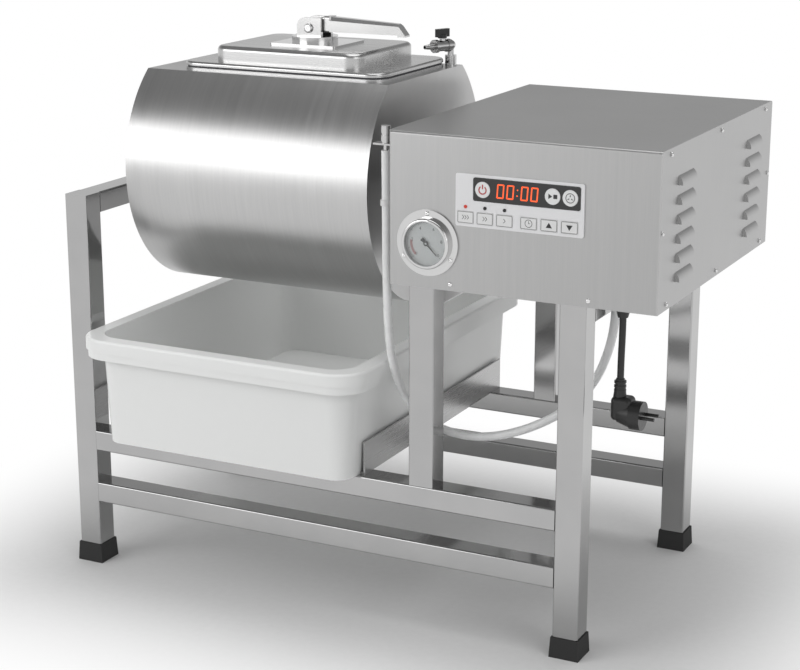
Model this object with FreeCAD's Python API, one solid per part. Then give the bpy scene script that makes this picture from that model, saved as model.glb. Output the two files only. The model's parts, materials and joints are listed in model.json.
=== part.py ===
import FreeCAD, Part
import math
import os

V = FreeCAD.Vector
X_AXIS, Y_AXIS, Z_AXIS = V(1, 0, 0), V(0, 1, 0), V(0, 0, 1)

# Meat vacuum tumbler. Millimetres, +Z up, +X along the drum towards the control box, -Y to the front.
# The origin lies on the floor under the middle of the whole machine.

# ---- Frame -------------------------------------------------------------------------------------
TUBE = 38.0                 # side of the square posts, and depth of the rails
TUBE_WALL = 2.0
TUBE_CORNER = 2.5           # outside corner radius of the tube
RAIL_HEIGHT = 32.0
FRAME_DEPTH = 496.0         # outside of the posts, along Y
LOWER_RAIL_BOTTOM = 102.0
UPPER_RAIL_BOTTOM = 187.0
LEFT_POST_TOP = 589.0
FOOT_HEIGHT = 30.0
FOOT_SOLE = 8.0             # rubber under the post
FOOT_WALL = 1.6
FOOT_FLARE = 1.6            # extra half width at the floor
SEAT = 0.05                 # clearance between pieces that are pushed together

# ---- Control box -------------------------------------------------------------------------------
BOX_LENGTH = 391.0
BOX_DEPTH = 493.0
BOX_HEIGHT = 215.0
BOX_BOTTOM = 514.0
BOX_OVERHANG_RIGHT = 102.0
BOX_OVERHANG_FRONT = 9.0
SHEET = 2.0
BASE_PLATE = 3.0
CORNER_BEND = 4.0           # outside radius of the housing's folds
COVER_SCREW_R = 3.5
COVER_SCREW_HEAD = 1.8
FRONT_SCREW_OFFSETS = (94.0, 295.0)     # from the box's left side
FRONT_SCREW_HEIGHT = 9.0
SCREW_SHANK_R = 1.6
LOUVRE_COUNT = 6
LOUVRE_PITCH = 26.0
LOUVRE_LENGTH = 60.0
LOUVRE_HEIGHT = 13.0
LOUVRE_STANDOFF = 6.0
LOUVRE_SKIN = 1.2
LOUVRE_FIRST_DROP = 41.0    # top louvre below the box top
LOUVRE_FRONT_INSET = 67.0   # front column's start from the box front
LOUVRE_REAR_INSET = 372.0   # rear column's start from the box front

# ---- Membrane panel ----------------------------------------------------------------------------
PANEL_LENGTH = 185.0
PANEL_HEIGHT = 72.0
PANEL_THICKNESS = 2.0
PANEL_FROM_BOX_LEFT = 102.0
PANEL_TOP_DROP = 50.0       # panel's top below the box top
PANEL_CORNER = 3.0
WINDOW_LENGTH = 154.0
WINDOW_HEIGHT = 32.0
WINDOW_THICKNESS = 0.5
WINDOW_FROM_PANEL_LEFT = 26.0
WINDOW_TOP_DROP = 4.0
ROUND_KEY_R = 10.8
ROUND_KEYS = {"power_key": 40.0, "start_stop_key": 140.5, "vacuum_key": 165.5}
SQUARE_KEY = (24.0, 16.5)
SQUARE_KEYS = {"fast_key": 15.0, "medium_key": 43.5, "slow_key": 72.0,
               "timer_key": 107.0, "up_key": 136.0, "down_key": 165.0}
KEY_ROW_DROP = 59.5         # square keys' centre line below the panel top
KEY_GAP = 0.3
KEY_TRAVEL = 0.4
KEY_PROUD = 0.5
LAMP_R = 2.4
LAMP_ROW_DROP = 45.0
LAMP_PROUD = 0.9

# ---- Vacuum gauge ------------------------------------------------------------------------------
GAUGE_FROM_BOX_LEFT = 60.0
GAUGE_HEIGHT = 64.0         # gauge centre above the box bottom
GAUGE_FLANGE_R = 46.0
GAUGE_FLANGE = 2.5
GAUGE_BEZEL_R = 35.5
GAUGE_BEZEL_WALL = 4.5
GAUGE_BEZEL_DEPTH = 9.0
GAUGE_CASE_R = 31.0
GAUGE_CASE_DEPTH = 32.0
GAUGE_CASE_WALL = 1.5
GAUGE_DIAL = 1.0
GAUGE_GLASS = 2.0
GAUGE_SCREW_PCD = 82.0
NEEDLE_LENGTH = 22.0
NEEDLE_TAIL = 9.0
NEEDLE_THICKNESS = 0.8
NEEDLE_REST_ANGLE = -45.0   # direction of the tip at rest, seen from the front
STUD_R = 1.5

# ---- Drum --------------------------------------------------------------------------------------
DRUM_R = 193.0
DRUM_LENGTH = 409.0
DRUM_WALL = 2.0
END_DISC = 3.0
DRUM_FLAT = 148.0           # flat top above the axis
DRUM_FROM_FRAME_LEFT = 82.0
DRUM_BOX_GAP = 62.0         # between the drum and the control box, room for the drive hub and the hose
AXIS_OVER_RAIL = 33.0       # centre height of the pillow block
HATCH_LEFT_MARGIN = 49.0    # from the drum's left end to the hatch frame
HATCH_RIGHT_MARGIN = 17.0
HATCH_WIDTH = 226.0
HATCH_CORNER = 28.0
HATCH_PLATE = 3.5
HATCH_HOLE_MARGIN = 38.0    # flange width round the opening
GASKET = 3.0
GASKET_INSET = 2.5
GASKET_WIDTH = 28.0
LID_PLATE = 6.0
LID_FLANGE_ROUND = 3.5      # round of the flange's upper edge
LID_RISE = 23.5
LID_RISE_MARGIN = 47.0      # flange left bare round the raised middle
LID_RISE_MARGIN_Y = 18.0
LID_SKIN = 2.5
LID_RISE_CORNER = 24.0
LID_EDGE_ROUND = 7.0
BAFFLE_COUNT = 3
BAFFLE_HEIGHT = 36.0
BAFFLE_THICKNESS = 3.0
BAFFLE_MARGIN = 12.0
BAFFLE_FIRST_ANGLE = 190.0
BAFFLE_STEP = 80.0
BAFFLE_TWIST = 22.0

# ---- Lever on the lid --------------------------------------------------------------------------
PAD_LENGTH, PAD_WIDTH, PAD_THICKNESS = 112.0, 96.0, 3.0
PAD_SHIFT = 4.0             # pad's centre right of the pivot
BASE_DISC_R, BASE_DISC_HEIGHT = 35.0, 9.0
EAR_LENGTH, EAR_THICKNESS, EAR_GAP = 41.0, 6.0, 26.0
EAR_OVER_PIVOT = 15.5
EAR_ROUND = 13.0            # round of the ear's upper left corner
PIVOT_OVER_LID = 24.5
LEVER_BOLT_R = 4.0
BOLT_FIT = 0.06
LEVER_BOSS_R = 14.0
LEVER_SIDE_GAP = 0.5
COLLAR_LENGTH = 9.0
COLLAR_OVER_HANDLE = 1.0    # collar's edge beyond the handle, above and below
LEVER_LENGTH = 156.0
LEVER_UNDER_PIVOT = 5.0     # handle's lower edge below the pivot
LEVER_ROOT_HEIGHT, LEVER_TIP_HEIGHT = 22.0, 16.0
LEVER_TIP_SLOPE = 13.0      # how far the handle's end draws back towards its top
LEVER_LIP = (13.0, 2.5)     # length and thickness of the lip under the tip
LEVER_ROOT_WIDTH, LEVER_TIP_WIDTH = 24.0, 16.0
LEVER_SKIN = 2.5

# ---- Vacuum valve on the drum ------------------------------------------------------------------
VALVE_INSET = 13.5          # valve pipe from the drum's right end and from the flat's rear edge
VALVE_BASE_R, VALVE_BASE_HEIGHT = 9.0, 16.0
VALVE_PIPE_R = 5.0
VALVE_AXIS_HEIGHT = 31.0    # valve body's axis above the flat
VALVE_BODY_R = 8.5
VALVE_BODY_LENGTH = 34.0
VALVE_HEX_R = 10.0
VALVE_NOZZLE_R = 4.0
VALVE_NOZZLE_LENGTH = 18.0
VALVE_TURN = 24.0           # valve's direction, degrees left of straight to the front
VALVE_BORE_R = 2.5
VALVE_STEM_R, VALVE_STEM_HEIGHT = 4.5, 3.0
VALVE_HANDLE = (26.0, 7.0, 12.0)

# ---- Shafts and drive --------------------------------------------------------------------------
SHAFT_R = 10.0
SHAFT_FIT = 0.05
STUB_HUB_R, STUB_HUB_LENGTH = 30.0, 10.0
PILLOW_LENGTH, PILLOW_FOOT = 127.0, 14.0
PILLOW_RING_R = 31.0
PILLOW_BOLT_SPACING = 95.0
PILLOW_BOLT_R = 5.0
BOLT_HEAD_R, BOLT_HEAD_HEIGHT, NUT_HEIGHT = 8.5, 6.5, 7.0
RING_OUTER_R = 20.0
OUTPUT_SHAFT_R = 12.5
DRIVE_HUB_R, DRIVE_HUB_LENGTH = 35.0, 12.0
GEARBOX_LENGTH, GEARBOX_DEPTH, GEARBOX_WALL = 70.0, 110.0, 6.0
GEARBOX_FROM_BOX_LEFT = 40.0
WHEEL_R, WHEEL_WIDTH, WHEEL_TEETH, TOOTH_DEPTH = 32.0, 22.0, 30, 3.0
WORM_R = 10.0
WORM_GAP = 0.4
MOTOR_SHAFT_R = 7.0
MOTOR_R, MOTOR_LENGTH, MOTOR_WALL = 44.0, 150.0, 5.0
ROTOR_R, ROTOR_LENGTH = 34.0, 90.0
MOTOR_FIN_COUNT, MOTOR_FIN = 12, 4.0
PUMP_LENGTH, PUMP_DEPTH, PUMP_HEIGHT = 120.0, 90.0, 62.0
PUMP_HEAD_R, PUMP_HEAD_HEIGHT = 26.0, 42.0
PUMP_FROM_BOX_RIGHT, PUMP_FROM_BOX_FRONT = 40.0, 60.0
BOARD_LENGTH, BOARD_HEIGHT, BOARD_THICKNESS = 150.0, 60.0, 1.6
BOARD_STANDOFF = 8.0

# ---- Tub ---------------------------------------------------------------------------------------
TUB_LENGTH, TUB_DEPTH = 476.0, 624.0    # outside of the rim along X and Y
TUB_HEIGHT = 168.0
TUB_WALL = 3.0
TUB_RIM_OVERHANG = 21.0
TUB_RIM_CORNER = 50.0
TUB_RIM_BAND = 19.0         # upper band of the rim
TUB_RIM_LIP = 12.0          # lower band of the rim
TUB_LIP_INSET = 3.0
TUB_TAPER = 9.0             # how far each side draws in towards the floor
TUB_CORNER = 40.0
TUB_FLOOR_CORNER = 28.0
TUB_GAP_LEFT = 11.4         # from the left posts to the tub's rim
TUB_GAP_RIGHT = 53.6        # from the tub's rim to the mid posts, room for the hose
GUIDE_HEIGHT = 49.0
GUIDE_FOOT_GAP = 1.0        # between the guide's foot and the tub
GUIDE_THICKNESS = 3.0
GUIDE_INSET = 10.0          # guide's front end behind the frame's front
GUIDE_REAR_INSET = 4.0

# ---- Hose, cord and plug -----------------------------------------------------------------------
HOSE_R = 6.2
HOSE_FROM_BOX = 17.0        # hose's centre line from the box's left side
COUPLER_R, COUPLER_HEIGHT = 6.5, 24.0
BARB_R, BARB_LENGTH = 3.0, 16.0
HOLDER_THICKNESS = 2.5
HOLDER_REACH = 33.0
HOLDER_DEPTH = 16.0
HOLDER_DROP = 23.0          # bracket below the box top
FITTING_R, FITTING_LENGTH = 8.5, 14.0
CORD_R = 4.75
GLAND_R, GLAND_NOSE_R, GLAND_LENGTH = 12.0, 7.0, 22.0
PLUG_FACE_R = 20.0
PLUG_DEPTH = 46.0
PIN_R, PIN_LENGTH, PIN_SPACING = 2.4, 19.0, 19.0

# ---- Places worked out from the sizes above ----------------------------------------------------
FRAME_LENGTH = DRUM_FROM_FRAME_LEFT + DRUM_LENGTH + DRUM_BOX_GAP + BOX_LENGTH - BOX_OVERHANG_RIGHT  # over the posts
BOX_STAND_LENGTH = FRAME_LENGTH - TUBE - TUB_GAP_LEFT - TUB_LENGTH - TUB_GAP_RIGHT   # over the mid and right posts
FOOT_OVERHANG = FOOT_WALL + FOOT_FLARE + SEAT
TOTAL_LENGTH = FRAME_LENGTH + BOX_OVERHANG_RIGHT + LOUVRE_STANDOFF + FOOT_OVERHANG
FRAME_LEFT = -TOTAL_LENGTH / 2 + FOOT_OVERHANG
FRAME_RIGHT = FRAME_LEFT + FRAME_LENGTH
FRAME_FRONT, FRAME_REAR = -FRAME_DEPTH / 2, FRAME_DEPTH / 2
LOWER_RAIL_TOP = LOWER_RAIL_BOTTOM + RAIL_HEIGHT
UPPER_RAIL_TOP = UPPER_RAIL_BOTTOM + RAIL_HEIGHT
MID_POST_LEFT = FRAME_RIGHT - BOX_STAND_LENGTH
BOX_RIGHT = FRAME_RIGHT + BOX_OVERHANG_RIGHT
BOX_LEFT = BOX_RIGHT - BOX_LENGTH
BOX_FRONT = FRAME_FRONT - BOX_OVERHANG_FRONT
BOX_REAR = BOX_FRONT + BOX_DEPTH
BOX_TOP = BOX_BOTTOM + BOX_HEIGHT
BOX_MID_Y = (BOX_FRONT + BOX_REAR) / 2
DRUM_Y = BOX_MID_Y
DRUM_Z = LEFT_POST_TOP + AXIS_OVER_RAIL
DRUM_LEFT = FRAME_LEFT + DRUM_FROM_FRAME_LEFT
DRUM_RIGHT = DRUM_LEFT + DRUM_LENGTH
FLAT_Z = DRUM_Z + DRUM_FLAT
FLAT_HALF = math.sqrt(DRUM_R ** 2 - DRUM_FLAT ** 2)
HATCH_LENGTH = DRUM_LENGTH - HATCH_LEFT_MARGIN - HATCH_RIGHT_MARGIN
HATCH_LEFT = DRUM_LEFT + HATCH_LEFT_MARGIN
HATCH_X = HATCH_LEFT + HATCH_LENGTH / 2
GASKET_Z = FLAT_Z + HATCH_PLATE
LID_Z = GASKET_Z + GASKET
LID_TOP = LID_Z + LID_PLATE + LID_RISE
PIVOT_Z = LID_TOP + PIVOT_OVER_LID
TUB_LEFT = FRAME_LEFT + TUBE + TUB_GAP_LEFT
TUB_X = TUB_LEFT + TUB_LENGTH / 2
TUB_Z = UPPER_RAIL_TOP
PANEL_LEFT = BOX_LEFT + PANEL_FROM_BOX_LEFT
PANEL_TOP = BOX_TOP - PANEL_TOP_DROP
PANEL_FRONT = BOX_FRONT - PANEL_THICKNESS
WINDOW_TOP = PANEL_TOP - WINDOW_TOP_DROP
GAUGE_X = BOX_LEFT + GAUGE_FROM_BOX_LEFT
GAUGE_Z = BOX_BOTTOM + GAUGE_HEIGHT
WORM_Z = DRUM_Z - WHEEL_R - WORM_R - WORM_GAP
GEARBOX_LEFT = BOX_LEFT + GEARBOX_FROM_BOX_LEFT
GEARBOX_X = GEARBOX_LEFT + GEARBOX_LENGTH / 2
FLOOR_IN_BOX = BOX_BOTTOM + BASE_PLATE
HOSE_X = BOX_LEFT - HOSE_FROM_BOX
HOLDER_TOP = BOX_TOP - HOLDER_DROP
HOSE_START_Z = HOLDER_TOP - HOLDER_THICKNESS - BARB_LENGTH + 8.0
FITTING_X, FITTING_Y = FRAME_RIGHT + 11.0, FRAME_FRONT + 85.0
CORD_X, CORD_Y = FRAME_RIGHT + 36.0, FRAME_FRONT + 45.0
CORD_TOP = BOX_BOTTOM - GLAND_LENGTH
CORD_BOTTOM = CORD_TOP - 86.0

# The hose leaves its coupler straight down, hangs in a bow under the box and comes up to the fitting.
HOSE_Y = FRAME_FRONT + 16.0
HOSE_POINTS = [
    (HOSE_X, HOSE_Y, HOSE_START_Z), (HOSE_X, HOSE_Y + 1, 604), (HOSE_X - 1, HOSE_Y + 4, 508),
    (HOSE_X - 1, HOSE_Y + 9, 426), (HOSE_X + 3, HOSE_Y + 20, 371), (HOSE_X + 17, HOSE_Y + 36, 323),
    (HOSE_X + 49, HOSE_Y + 46, 292), (HOSE_X + 93, HOSE_Y + 52, 280), (HOSE_X + 137, HOSE_Y + 56, 283),
    (HOSE_X + 181, HOSE_Y + 59, 297), (HOSE_X + 222, HOSE_Y + 63, 318), (HOSE_X + 262, HOSE_Y + 66, 347),
    (HOSE_X + 293, HOSE_Y + 68, 388), (HOSE_X + 310, HOSE_Y + 69, 434),
    (FITTING_X, FITTING_Y, 476), (FITTING_X, FITTING_Y, BOX_BOTTOM - FITTING_LENGTH),
]
# The cord hangs from its gland with a slight set, as far as its plug.
CORD_POINTS = [
    (CORD_X, CORD_Y, CORD_TOP), (CORD_X, CORD_Y, CORD_TOP - 26),
    (CORD_X - 1, CORD_Y + 0.4, CORD_BOTTOM + 29), (CORD_X - 1, CORD_Y + 0.4, CORD_BOTTOM),
]


# ---- Helpers -----------------------------------------------------------------------------------
def block(x0, x1, y0, y1, z0, z1):
    """A box between two corners."""
    return Part.makeBox(x1 - x0, y1 - y0, z1 - z0, V(x0, y0, z0))


def rod(r, start, direction, length):
    """A round bar from a point along a direction."""
    return Part.makeCylinder(r, length, V(*start), direction)


def ring(r_out, r_in, start, direction, length):
    """A tube from a point along a direction."""
    return rod(r_out, start, direction, length).cut(rod(r_in, start, direction, length))


def rounded_slab(x0, x1, y0, y1, z0, z1, radius):
    """A slab with rounded corners seen from above."""
    slab = block(x0, x1, y0, y1, z0, z1)
    upright = [e for e in slab.Edges if is_along(e, Z_AXIS)]
    return slab.makeFillet(radius, upright)


def is_along(edge, axis):
    """True if an edge is straight and runs along an axis."""
    if not isinstance(edge.Curve, (Part.Line, Part.LineSegment)):
        return False
    return abs(abs(edge.tangentAt(edge.FirstParameter).dot(axis)) - 1) < 1e-6


def hollow_bar(x0, x1, y0, y1, z0, z1, axis):
    """A rectangular tube with rounded corners, open at both ends along the axis."""
    gap_x, gap_y, gap_z = (TUBE_WALL * (1 - abs(component)) for component in axis)
    outer = block(x0, x1, y0, y1, z0, z1)
    outer = outer.makeFillet(TUBE_CORNER, [e for e in outer.Edges if is_along(e, axis)])
    return outer.cut(block(x0 + gap_x, x1 - gap_x, y0 + gap_y, y1 - gap_y, z0 + gap_z, z1 - gap_z))


def fuse(first, *others):
    """Joins solids into one and removes the seams."""
    return first.fuse(list(others)).removeSplitter()


def cord_path(points):
    """Straight runs joined by tangent arcs, the radii, and the length of the whole line."""
    pts = [V(*p) for p in points]
    edges, radii, start = [], [], pts[0]
    for before, corner, after in zip(pts, pts[1:], pts[2:]):
        run_in, run_out = corner - before, after - corner
        turn = run_in.getAngle(run_out)
        trim = 0.45 * min(run_in.Length, run_out.Length)
        radii.append(trim / math.tan(turn / 2))
        a = corner - V(run_in).normalize() * trim
        b = corner + V(run_out).normalize() * trim
        inward = (V(run_out).normalize() - V(run_in).normalize()).normalize()
        to_centre = radii[-1] / math.cos(turn / 2)
        middle = corner + inward * (to_centre - radii[-1])
        edges += [Part.LineSegment(start, a).toShape(), Part.Arc(a, middle, b).toShape()]
        start = b
    edges.append(Part.LineSegment(start, pts[-1]).toShape())
    return Part.Wire(edges), radii


def cord_tube(name, points, radius):
    """Sweeps a round section along a cord's path, and prints its radii and its volume against its length."""
    wire, radii = cord_path(points)
    section = Part.Wire(Part.Circle(V(*points[0]), V(*points[1]) - V(*points[0]), radius).toShape())
    tube = wire.makePipeShell([section], True, True)
    ideal = math.pi * radius ** 2 * wire.Length
    print(name, "length", round(wire.Length, 1), "radii", [round(r) for r in radii],
          "volume ratio", round(tube.Volume / ideal, 4))
    return tube


def emit(name, *solids):
    """Writes one node: its solids, side by side, in one file."""
    shape = solids[0] if len(solids) == 1 else Part.makeCompound(list(solids))
    for solid in shape.Solids:
        if not solid.isValid():
            print("not valid:", name)
    shape.exportStep(os.path.join("parts", name + ".step"))
    print(name, len(shape.Solids), "solids", round(shape.Volume / 1000, 2), "cm3")


# ---- Frame -------------------------------------------------------------------------------------
def post(x, y, bottom, top):
    """A square tube standing up, with a closed top."""
    tube = hollow_bar(x, x + TUBE, y, y + TUBE, bottom, top, Z_AXIS)
    inset = TUBE_WALL / 2
    return fuse(tube, block(x + inset, x + TUBE - inset, y + inset, y + TUBE - inset, top - TUBE_WALL, top))


def post_pair(x, bottom, top):
    """A front and a rear post at one place along the frame."""
    return post(x, FRAME_FRONT, bottom, top), post(x, FRAME_REAR - TUBE, bottom, top)


def long_rails(bottom):
    """A front and a rear rail between the left and right posts."""
    x0, x1 = FRAME_LEFT + TUBE, FRAME_RIGHT - TUBE
    return [hollow_bar(x0, x1, y, y + TUBE, bottom, bottom + RAIL_HEIGHT, X_AXIS)
            for y in (FRAME_FRONT, FRAME_REAR - TUBE)]


def cross_rail(x, top):
    """A rail from a front post to the rear post behind it."""
    return hollow_bar(x, x + TUBE, FRAME_FRONT + TUBE, FRAME_REAR - TUBE, top - RAIL_HEIGHT, top, Y_AXIS)


def foot(x, y):
    """A rubber cap that a post stands in, wider at the floor."""
    top_gap, base_gap = FOOT_WALL + SEAT, FOOT_OVERHANG

    def outline(gap, z):
        corners = [(x - gap, y - gap), (x + TUBE + gap, y - gap), (x + TUBE + gap, y + TUBE + gap), (x - gap, y + TUBE + gap)]
        return Part.makePolygon([V(a, b, z) for a, b in corners + corners[:1]])

    cap = Part.makeLoft([outline(base_gap, 0), outline(top_gap, FOOT_HEIGHT)], True)
    socket = block(x - SEAT, x + TUBE + SEAT, y - SEAT, y + TUBE + SEAT, FOOT_SOLE, FOOT_HEIGHT)
    return cap.cut(socket)


def tub_guide(side):
    """An angle strip on the upper rails beside the tub; side is -1 left and 1 right."""
    reach = TUB_LENGTH / 2 - TUB_RIM_OVERHANG
    foot_end = reach - TUB_TAPER + GUIDE_FOOT_GAP
    y0, y1 = FRAME_FRONT + GUIDE_INSET, FRAME_REAR - GUIDE_REAR_INSET
    xs = sorted((TUB_X + side * reach, TUB_X + side * (reach - GUIDE_THICKNESS)))
    xf = sorted((TUB_X + side * reach, TUB_X + side * foot_end))
    leg = block(xs[0], xs[1], y0, y1, UPPER_RAIL_TOP, UPPER_RAIL_TOP + GUIDE_HEIGHT)
    return fuse(leg, block(xf[0], xf[1], y0, y1, UPPER_RAIL_TOP, UPPER_RAIL_TOP + GUIDE_THICKNESS))


def make_frame():
    """Posts, rails, guides and feet."""
    emit("left_posts", *post_pair(FRAME_LEFT, FOOT_SOLE, LEFT_POST_TOP))
    emit("mid_posts", *post_pair(MID_POST_LEFT, UPPER_RAIL_TOP, BOX_BOTTOM))
    emit("right_posts", *post_pair(FRAME_RIGHT - TUBE, FOOT_SOLE, BOX_BOTTOM))
    emit("upper_rails", *long_rails(UPPER_RAIL_BOTTOM))
    emit("lower_rails", *long_rails(LOWER_RAIL_BOTTOM))
    emit("bearing_rail", cross_rail(FRAME_LEFT, LEFT_POST_TOP).cut(bearing_bolt_holes(PILLOW_BOLT_R + SEAT)))
    emit("box_support_rails", cross_rail(MID_POST_LEFT, BOX_BOTTOM), cross_rail(FRAME_RIGHT - TUBE, BOX_BOTTOM))
    emit("tub_guides", tub_guide(-1), tub_guide(1))
    corners = [(x, y) for x in (FRAME_LEFT, FRAME_RIGHT - TUBE) for y in (FRAME_FRONT, FRAME_REAR - TUBE)]
    emit("rubber_feet", *[foot(x, y) for x, y in corners])


# ---- Left bearing ------------------------------------------------------------------------------
def bearing_bolt_holes(radius):
    """Two upright rods where the pillow block's bolts go."""
    x = FRAME_LEFT + TUBE / 2
    low = LEFT_POST_TOP - RAIL_HEIGHT - 2 * TUBE_WALL
    height = RAIL_HEIGHT + 2 * TUBE_WALL + PILLOW_FOOT + 8.0
    return Part.makeCompound([rod(radius, (x, DRUM_Y + s * PILLOW_BOLT_SPACING / 2, low), Z_AXIS, height) for s in (-1, 1)])


def make_left_bearing():
    """Pillow block, its inner ring, and the two bolts through the rail."""
    x0, x = FRAME_LEFT, FRAME_LEFT + TUBE / 2
    foot_plate = block(x0, x0 + TUBE, DRUM_Y - PILLOW_LENGTH / 2, DRUM_Y + PILLOW_LENGTH / 2, LEFT_POST_TOP, LEFT_POST_TOP + PILLOW_FOOT)
    foot_plate = foot_plate.makeFillet(TUBE / 2 - 1.0, [e for e in foot_plate.Edges if is_along(e, Z_AXIS)])
    shoulder = block(x0 + 4, x0 + TUBE - 4, DRUM_Y - PILLOW_RING_R, DRUM_Y + PILLOW_RING_R, LEFT_POST_TOP, DRUM_Z)
    body = fuse(foot_plate, shoulder, rod(PILLOW_RING_R, (x0 + 4, DRUM_Y, DRUM_Z), X_AXIS, TUBE - 8))
    body = body.cut(rod(RING_OUTER_R + SHAFT_FIT, (x0, DRUM_Y, DRUM_Z), X_AXIS, TUBE))
    emit("bearing_housing", body.cut(bearing_bolt_holes(PILLOW_BOLT_R + SEAT)))
    emit("bearing_ring", ring(RING_OUTER_R, SHAFT_R + SEAT / 2, (x0 + 4, DRUM_Y, DRUM_Z), X_AXIS, TUBE - 8))
    bolts = []
    for side in (-1, 1):
        y = DRUM_Y + side * PILLOW_BOLT_SPACING / 2
        head_z, nut_z = LEFT_POST_TOP + PILLOW_FOOT, LEFT_POST_TOP - RAIL_HEIGHT - NUT_HEIGHT
        shank = rod(PILLOW_BOLT_R, (x, y, nut_z), Z_AXIS, head_z - nut_z + BOLT_HEAD_HEIGHT / 2)
        head = hexagon(x, y, head_z, BOLT_HEAD_R, BOLT_HEAD_HEIGHT)
        bolts.append(fuse(shank, head, hexagon(x, y, nut_z, BOLT_HEAD_R, NUT_HEIGHT)))
    emit("bearing_bolts", *bolts)


def hexagon(x, y, z, flat_r, height):
    """A six-sided nut or bolt head standing on a height."""
    corner = flat_r / math.cos(math.pi / 6)
    pts = [V(x + corner * math.cos(k * math.pi / 3), y + corner * math.sin(k * math.pi / 3), z) for k in range(7)]
    return Part.Face(Part.makePolygon(pts)).extrude(V(0, 0, height))


# ---- Drum --------------------------------------------------------------------------------------
def drum_outline(radius, flat, x):
    """The drum's section: a circle cut by the flat top, as a face at x."""
    half = math.asin(flat / radius)
    start, end = math.pi - half, 2 * math.pi + half
    points = [V(x, DRUM_Y + radius * math.cos(a), DRUM_Z + radius * math.sin(a)) for a in (start, (start + end) / 2, end)]
    return Part.Face(Part.Wire([Part.Arc(*points).toShape(), Part.LineSegment(points[2], points[0]).toShape()]))


def hatch_slab(inset, z0, z1, radius):
    """A slab on the flat top, inset from the hatch's outer edge."""
    half_x, half_y = HATCH_LENGTH / 2 - inset, HATCH_WIDTH / 2 - inset
    return rounded_slab(HATCH_X - half_x, HATCH_X + half_x, DRUM_Y - half_y, DRUM_Y + half_y, z0, z1, radius)


def hatch_hole(z0, z1):
    """The loading opening."""
    return hatch_slab(HATCH_HOLE_MARGIN, z0, z1, HATCH_CORNER - 8.0)


def make_drum():
    """Shell with its flat top, end discs, baffles, hatch frame and stub shaft."""
    x0, x1 = DRUM_LEFT + END_DISC, DRUM_RIGHT - END_DISC
    shell = drum_outline(DRUM_R, DRUM_FLAT, x0).extrude(V(x1 - x0, 0, 0))
    shell = shell.cut(drum_outline(DRUM_R - DRUM_WALL, DRUM_FLAT - DRUM_WALL, x0).extrude(V(x1 - x0, 0, 0)))
    emit("drum_shell", shell.cut(hatch_hole(FLAT_Z - 2 * DRUM_WALL, FLAT_Z + DRUM_WALL)))
    discs = [drum_outline(DRUM_R, DRUM_FLAT, x).extrude(V(END_DISC, 0, 0)) for x in (DRUM_LEFT, x1)]
    emit("drum_ends", *discs)
    emit("drum_baffles", *[baffle(k) for k in range(BAFFLE_COUNT)])
    emit("hatch_frame", hatch_slab(0, FLAT_Z, GASKET_Z, HATCH_CORNER).cut(hatch_hole(FLAT_Z, GASKET_Z)))
    hub = rod(STUB_HUB_R, (DRUM_LEFT - STUB_HUB_LENGTH, DRUM_Y, DRUM_Z), X_AXIS, STUB_HUB_LENGTH)
    shaft = rod(SHAFT_R, (FRAME_LEFT + 2.0, DRUM_Y, DRUM_Z), X_AXIS, DRUM_LEFT - FRAME_LEFT - 2.0)
    emit("stub_shaft", fuse(hub, shaft))


def baffle(k):
    """One mixing paddle on the drum's wall, set slightly askew along the drum."""
    outer, inner = DRUM_R - DRUM_WALL, DRUM_R - DRUM_WALL - BAFFLE_HEIGHT
    x0, x1 = DRUM_LEFT + END_DISC + BAFFLE_MARGIN, DRUM_RIGHT - END_DISC - BAFFLE_MARGIN
    faces = []
    for x, angle in ((x0, 0.0), (x1, BAFFLE_TWIST)):
        a = math.radians(BAFFLE_FIRST_ANGLE + k * BAFFLE_STEP + angle - BAFFLE_TWIST / 2)
        out, side = V(0, math.cos(a), math.sin(a)), V(0, -math.sin(a), math.cos(a)) * (BAFFLE_THICKNESS / 2)
        centre = V(x, DRUM_Y, DRUM_Z)
        pts = [centre + out * outer + side, centre + out * inner + side, centre + out * inner - side, centre + out * outer - side]
        faces.append(Part.makePolygon(pts + pts[:1]))
    plate = Part.makeLoft(faces, True, True)
    inside = drum_outline(outer, DRUM_FLAT - DRUM_WALL, x0).extrude(V(x1 - x0, 0, 0))
    return plate.common(inside).Solids[0]


def edges_at(solid, z):
    """The edges of a solid that lie at one height."""
    return [e for e in solid.Edges if abs(e.BoundBox.ZMin - z) < 0.01 and abs(e.BoundBox.ZMax - z) < 0.01]


def make_lid():
    """Gasket, and the lid as one pressed sheet: a flange with a raised, hollow middle."""
    gasket = hatch_slab(GASKET_INSET, GASKET_Z, LID_Z, HATCH_CORNER - GASKET_INSET)
    emit("lid_gasket", gasket.cut(hatch_slab(GASKET_INSET + GASKET_WIDTH, GASKET_Z, LID_Z, HATCH_CORNER - 6.0)))
    half_x, half_y = HATCH_LENGTH / 2 - LID_RISE_MARGIN, HATCH_WIDTH / 2 - LID_RISE_MARGIN_Y
    raised = rounded_slab(HATCH_X - half_x, HATCH_X + half_x, DRUM_Y - half_y, DRUM_Y + half_y,
                          LID_Z, LID_TOP, LID_RISE_CORNER)
    raised = raised.makeFillet(LID_EDGE_ROUND, edges_at(raised, LID_TOP))
    pocket = rounded_slab(HATCH_X - half_x + LID_SKIN, HATCH_X + half_x - LID_SKIN, DRUM_Y - half_y + LID_SKIN,
                          DRUM_Y + half_y - LID_SKIN, LID_Z, LID_TOP - LID_SKIN, LID_RISE_CORNER - LID_SKIN)
    pocket = pocket.makeFillet(LID_EDGE_ROUND - LID_SKIN, edges_at(pocket, LID_TOP - LID_SKIN))
    flange = hatch_slab(0, LID_Z, LID_Z + LID_PLATE, HATCH_CORNER)
    flange = flange.makeFillet(LID_FLANGE_ROUND, edges_at(flange, LID_Z + LID_PLATE))
    emit("drum_lid", flange.fuse(raised).cut(pocket))


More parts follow.
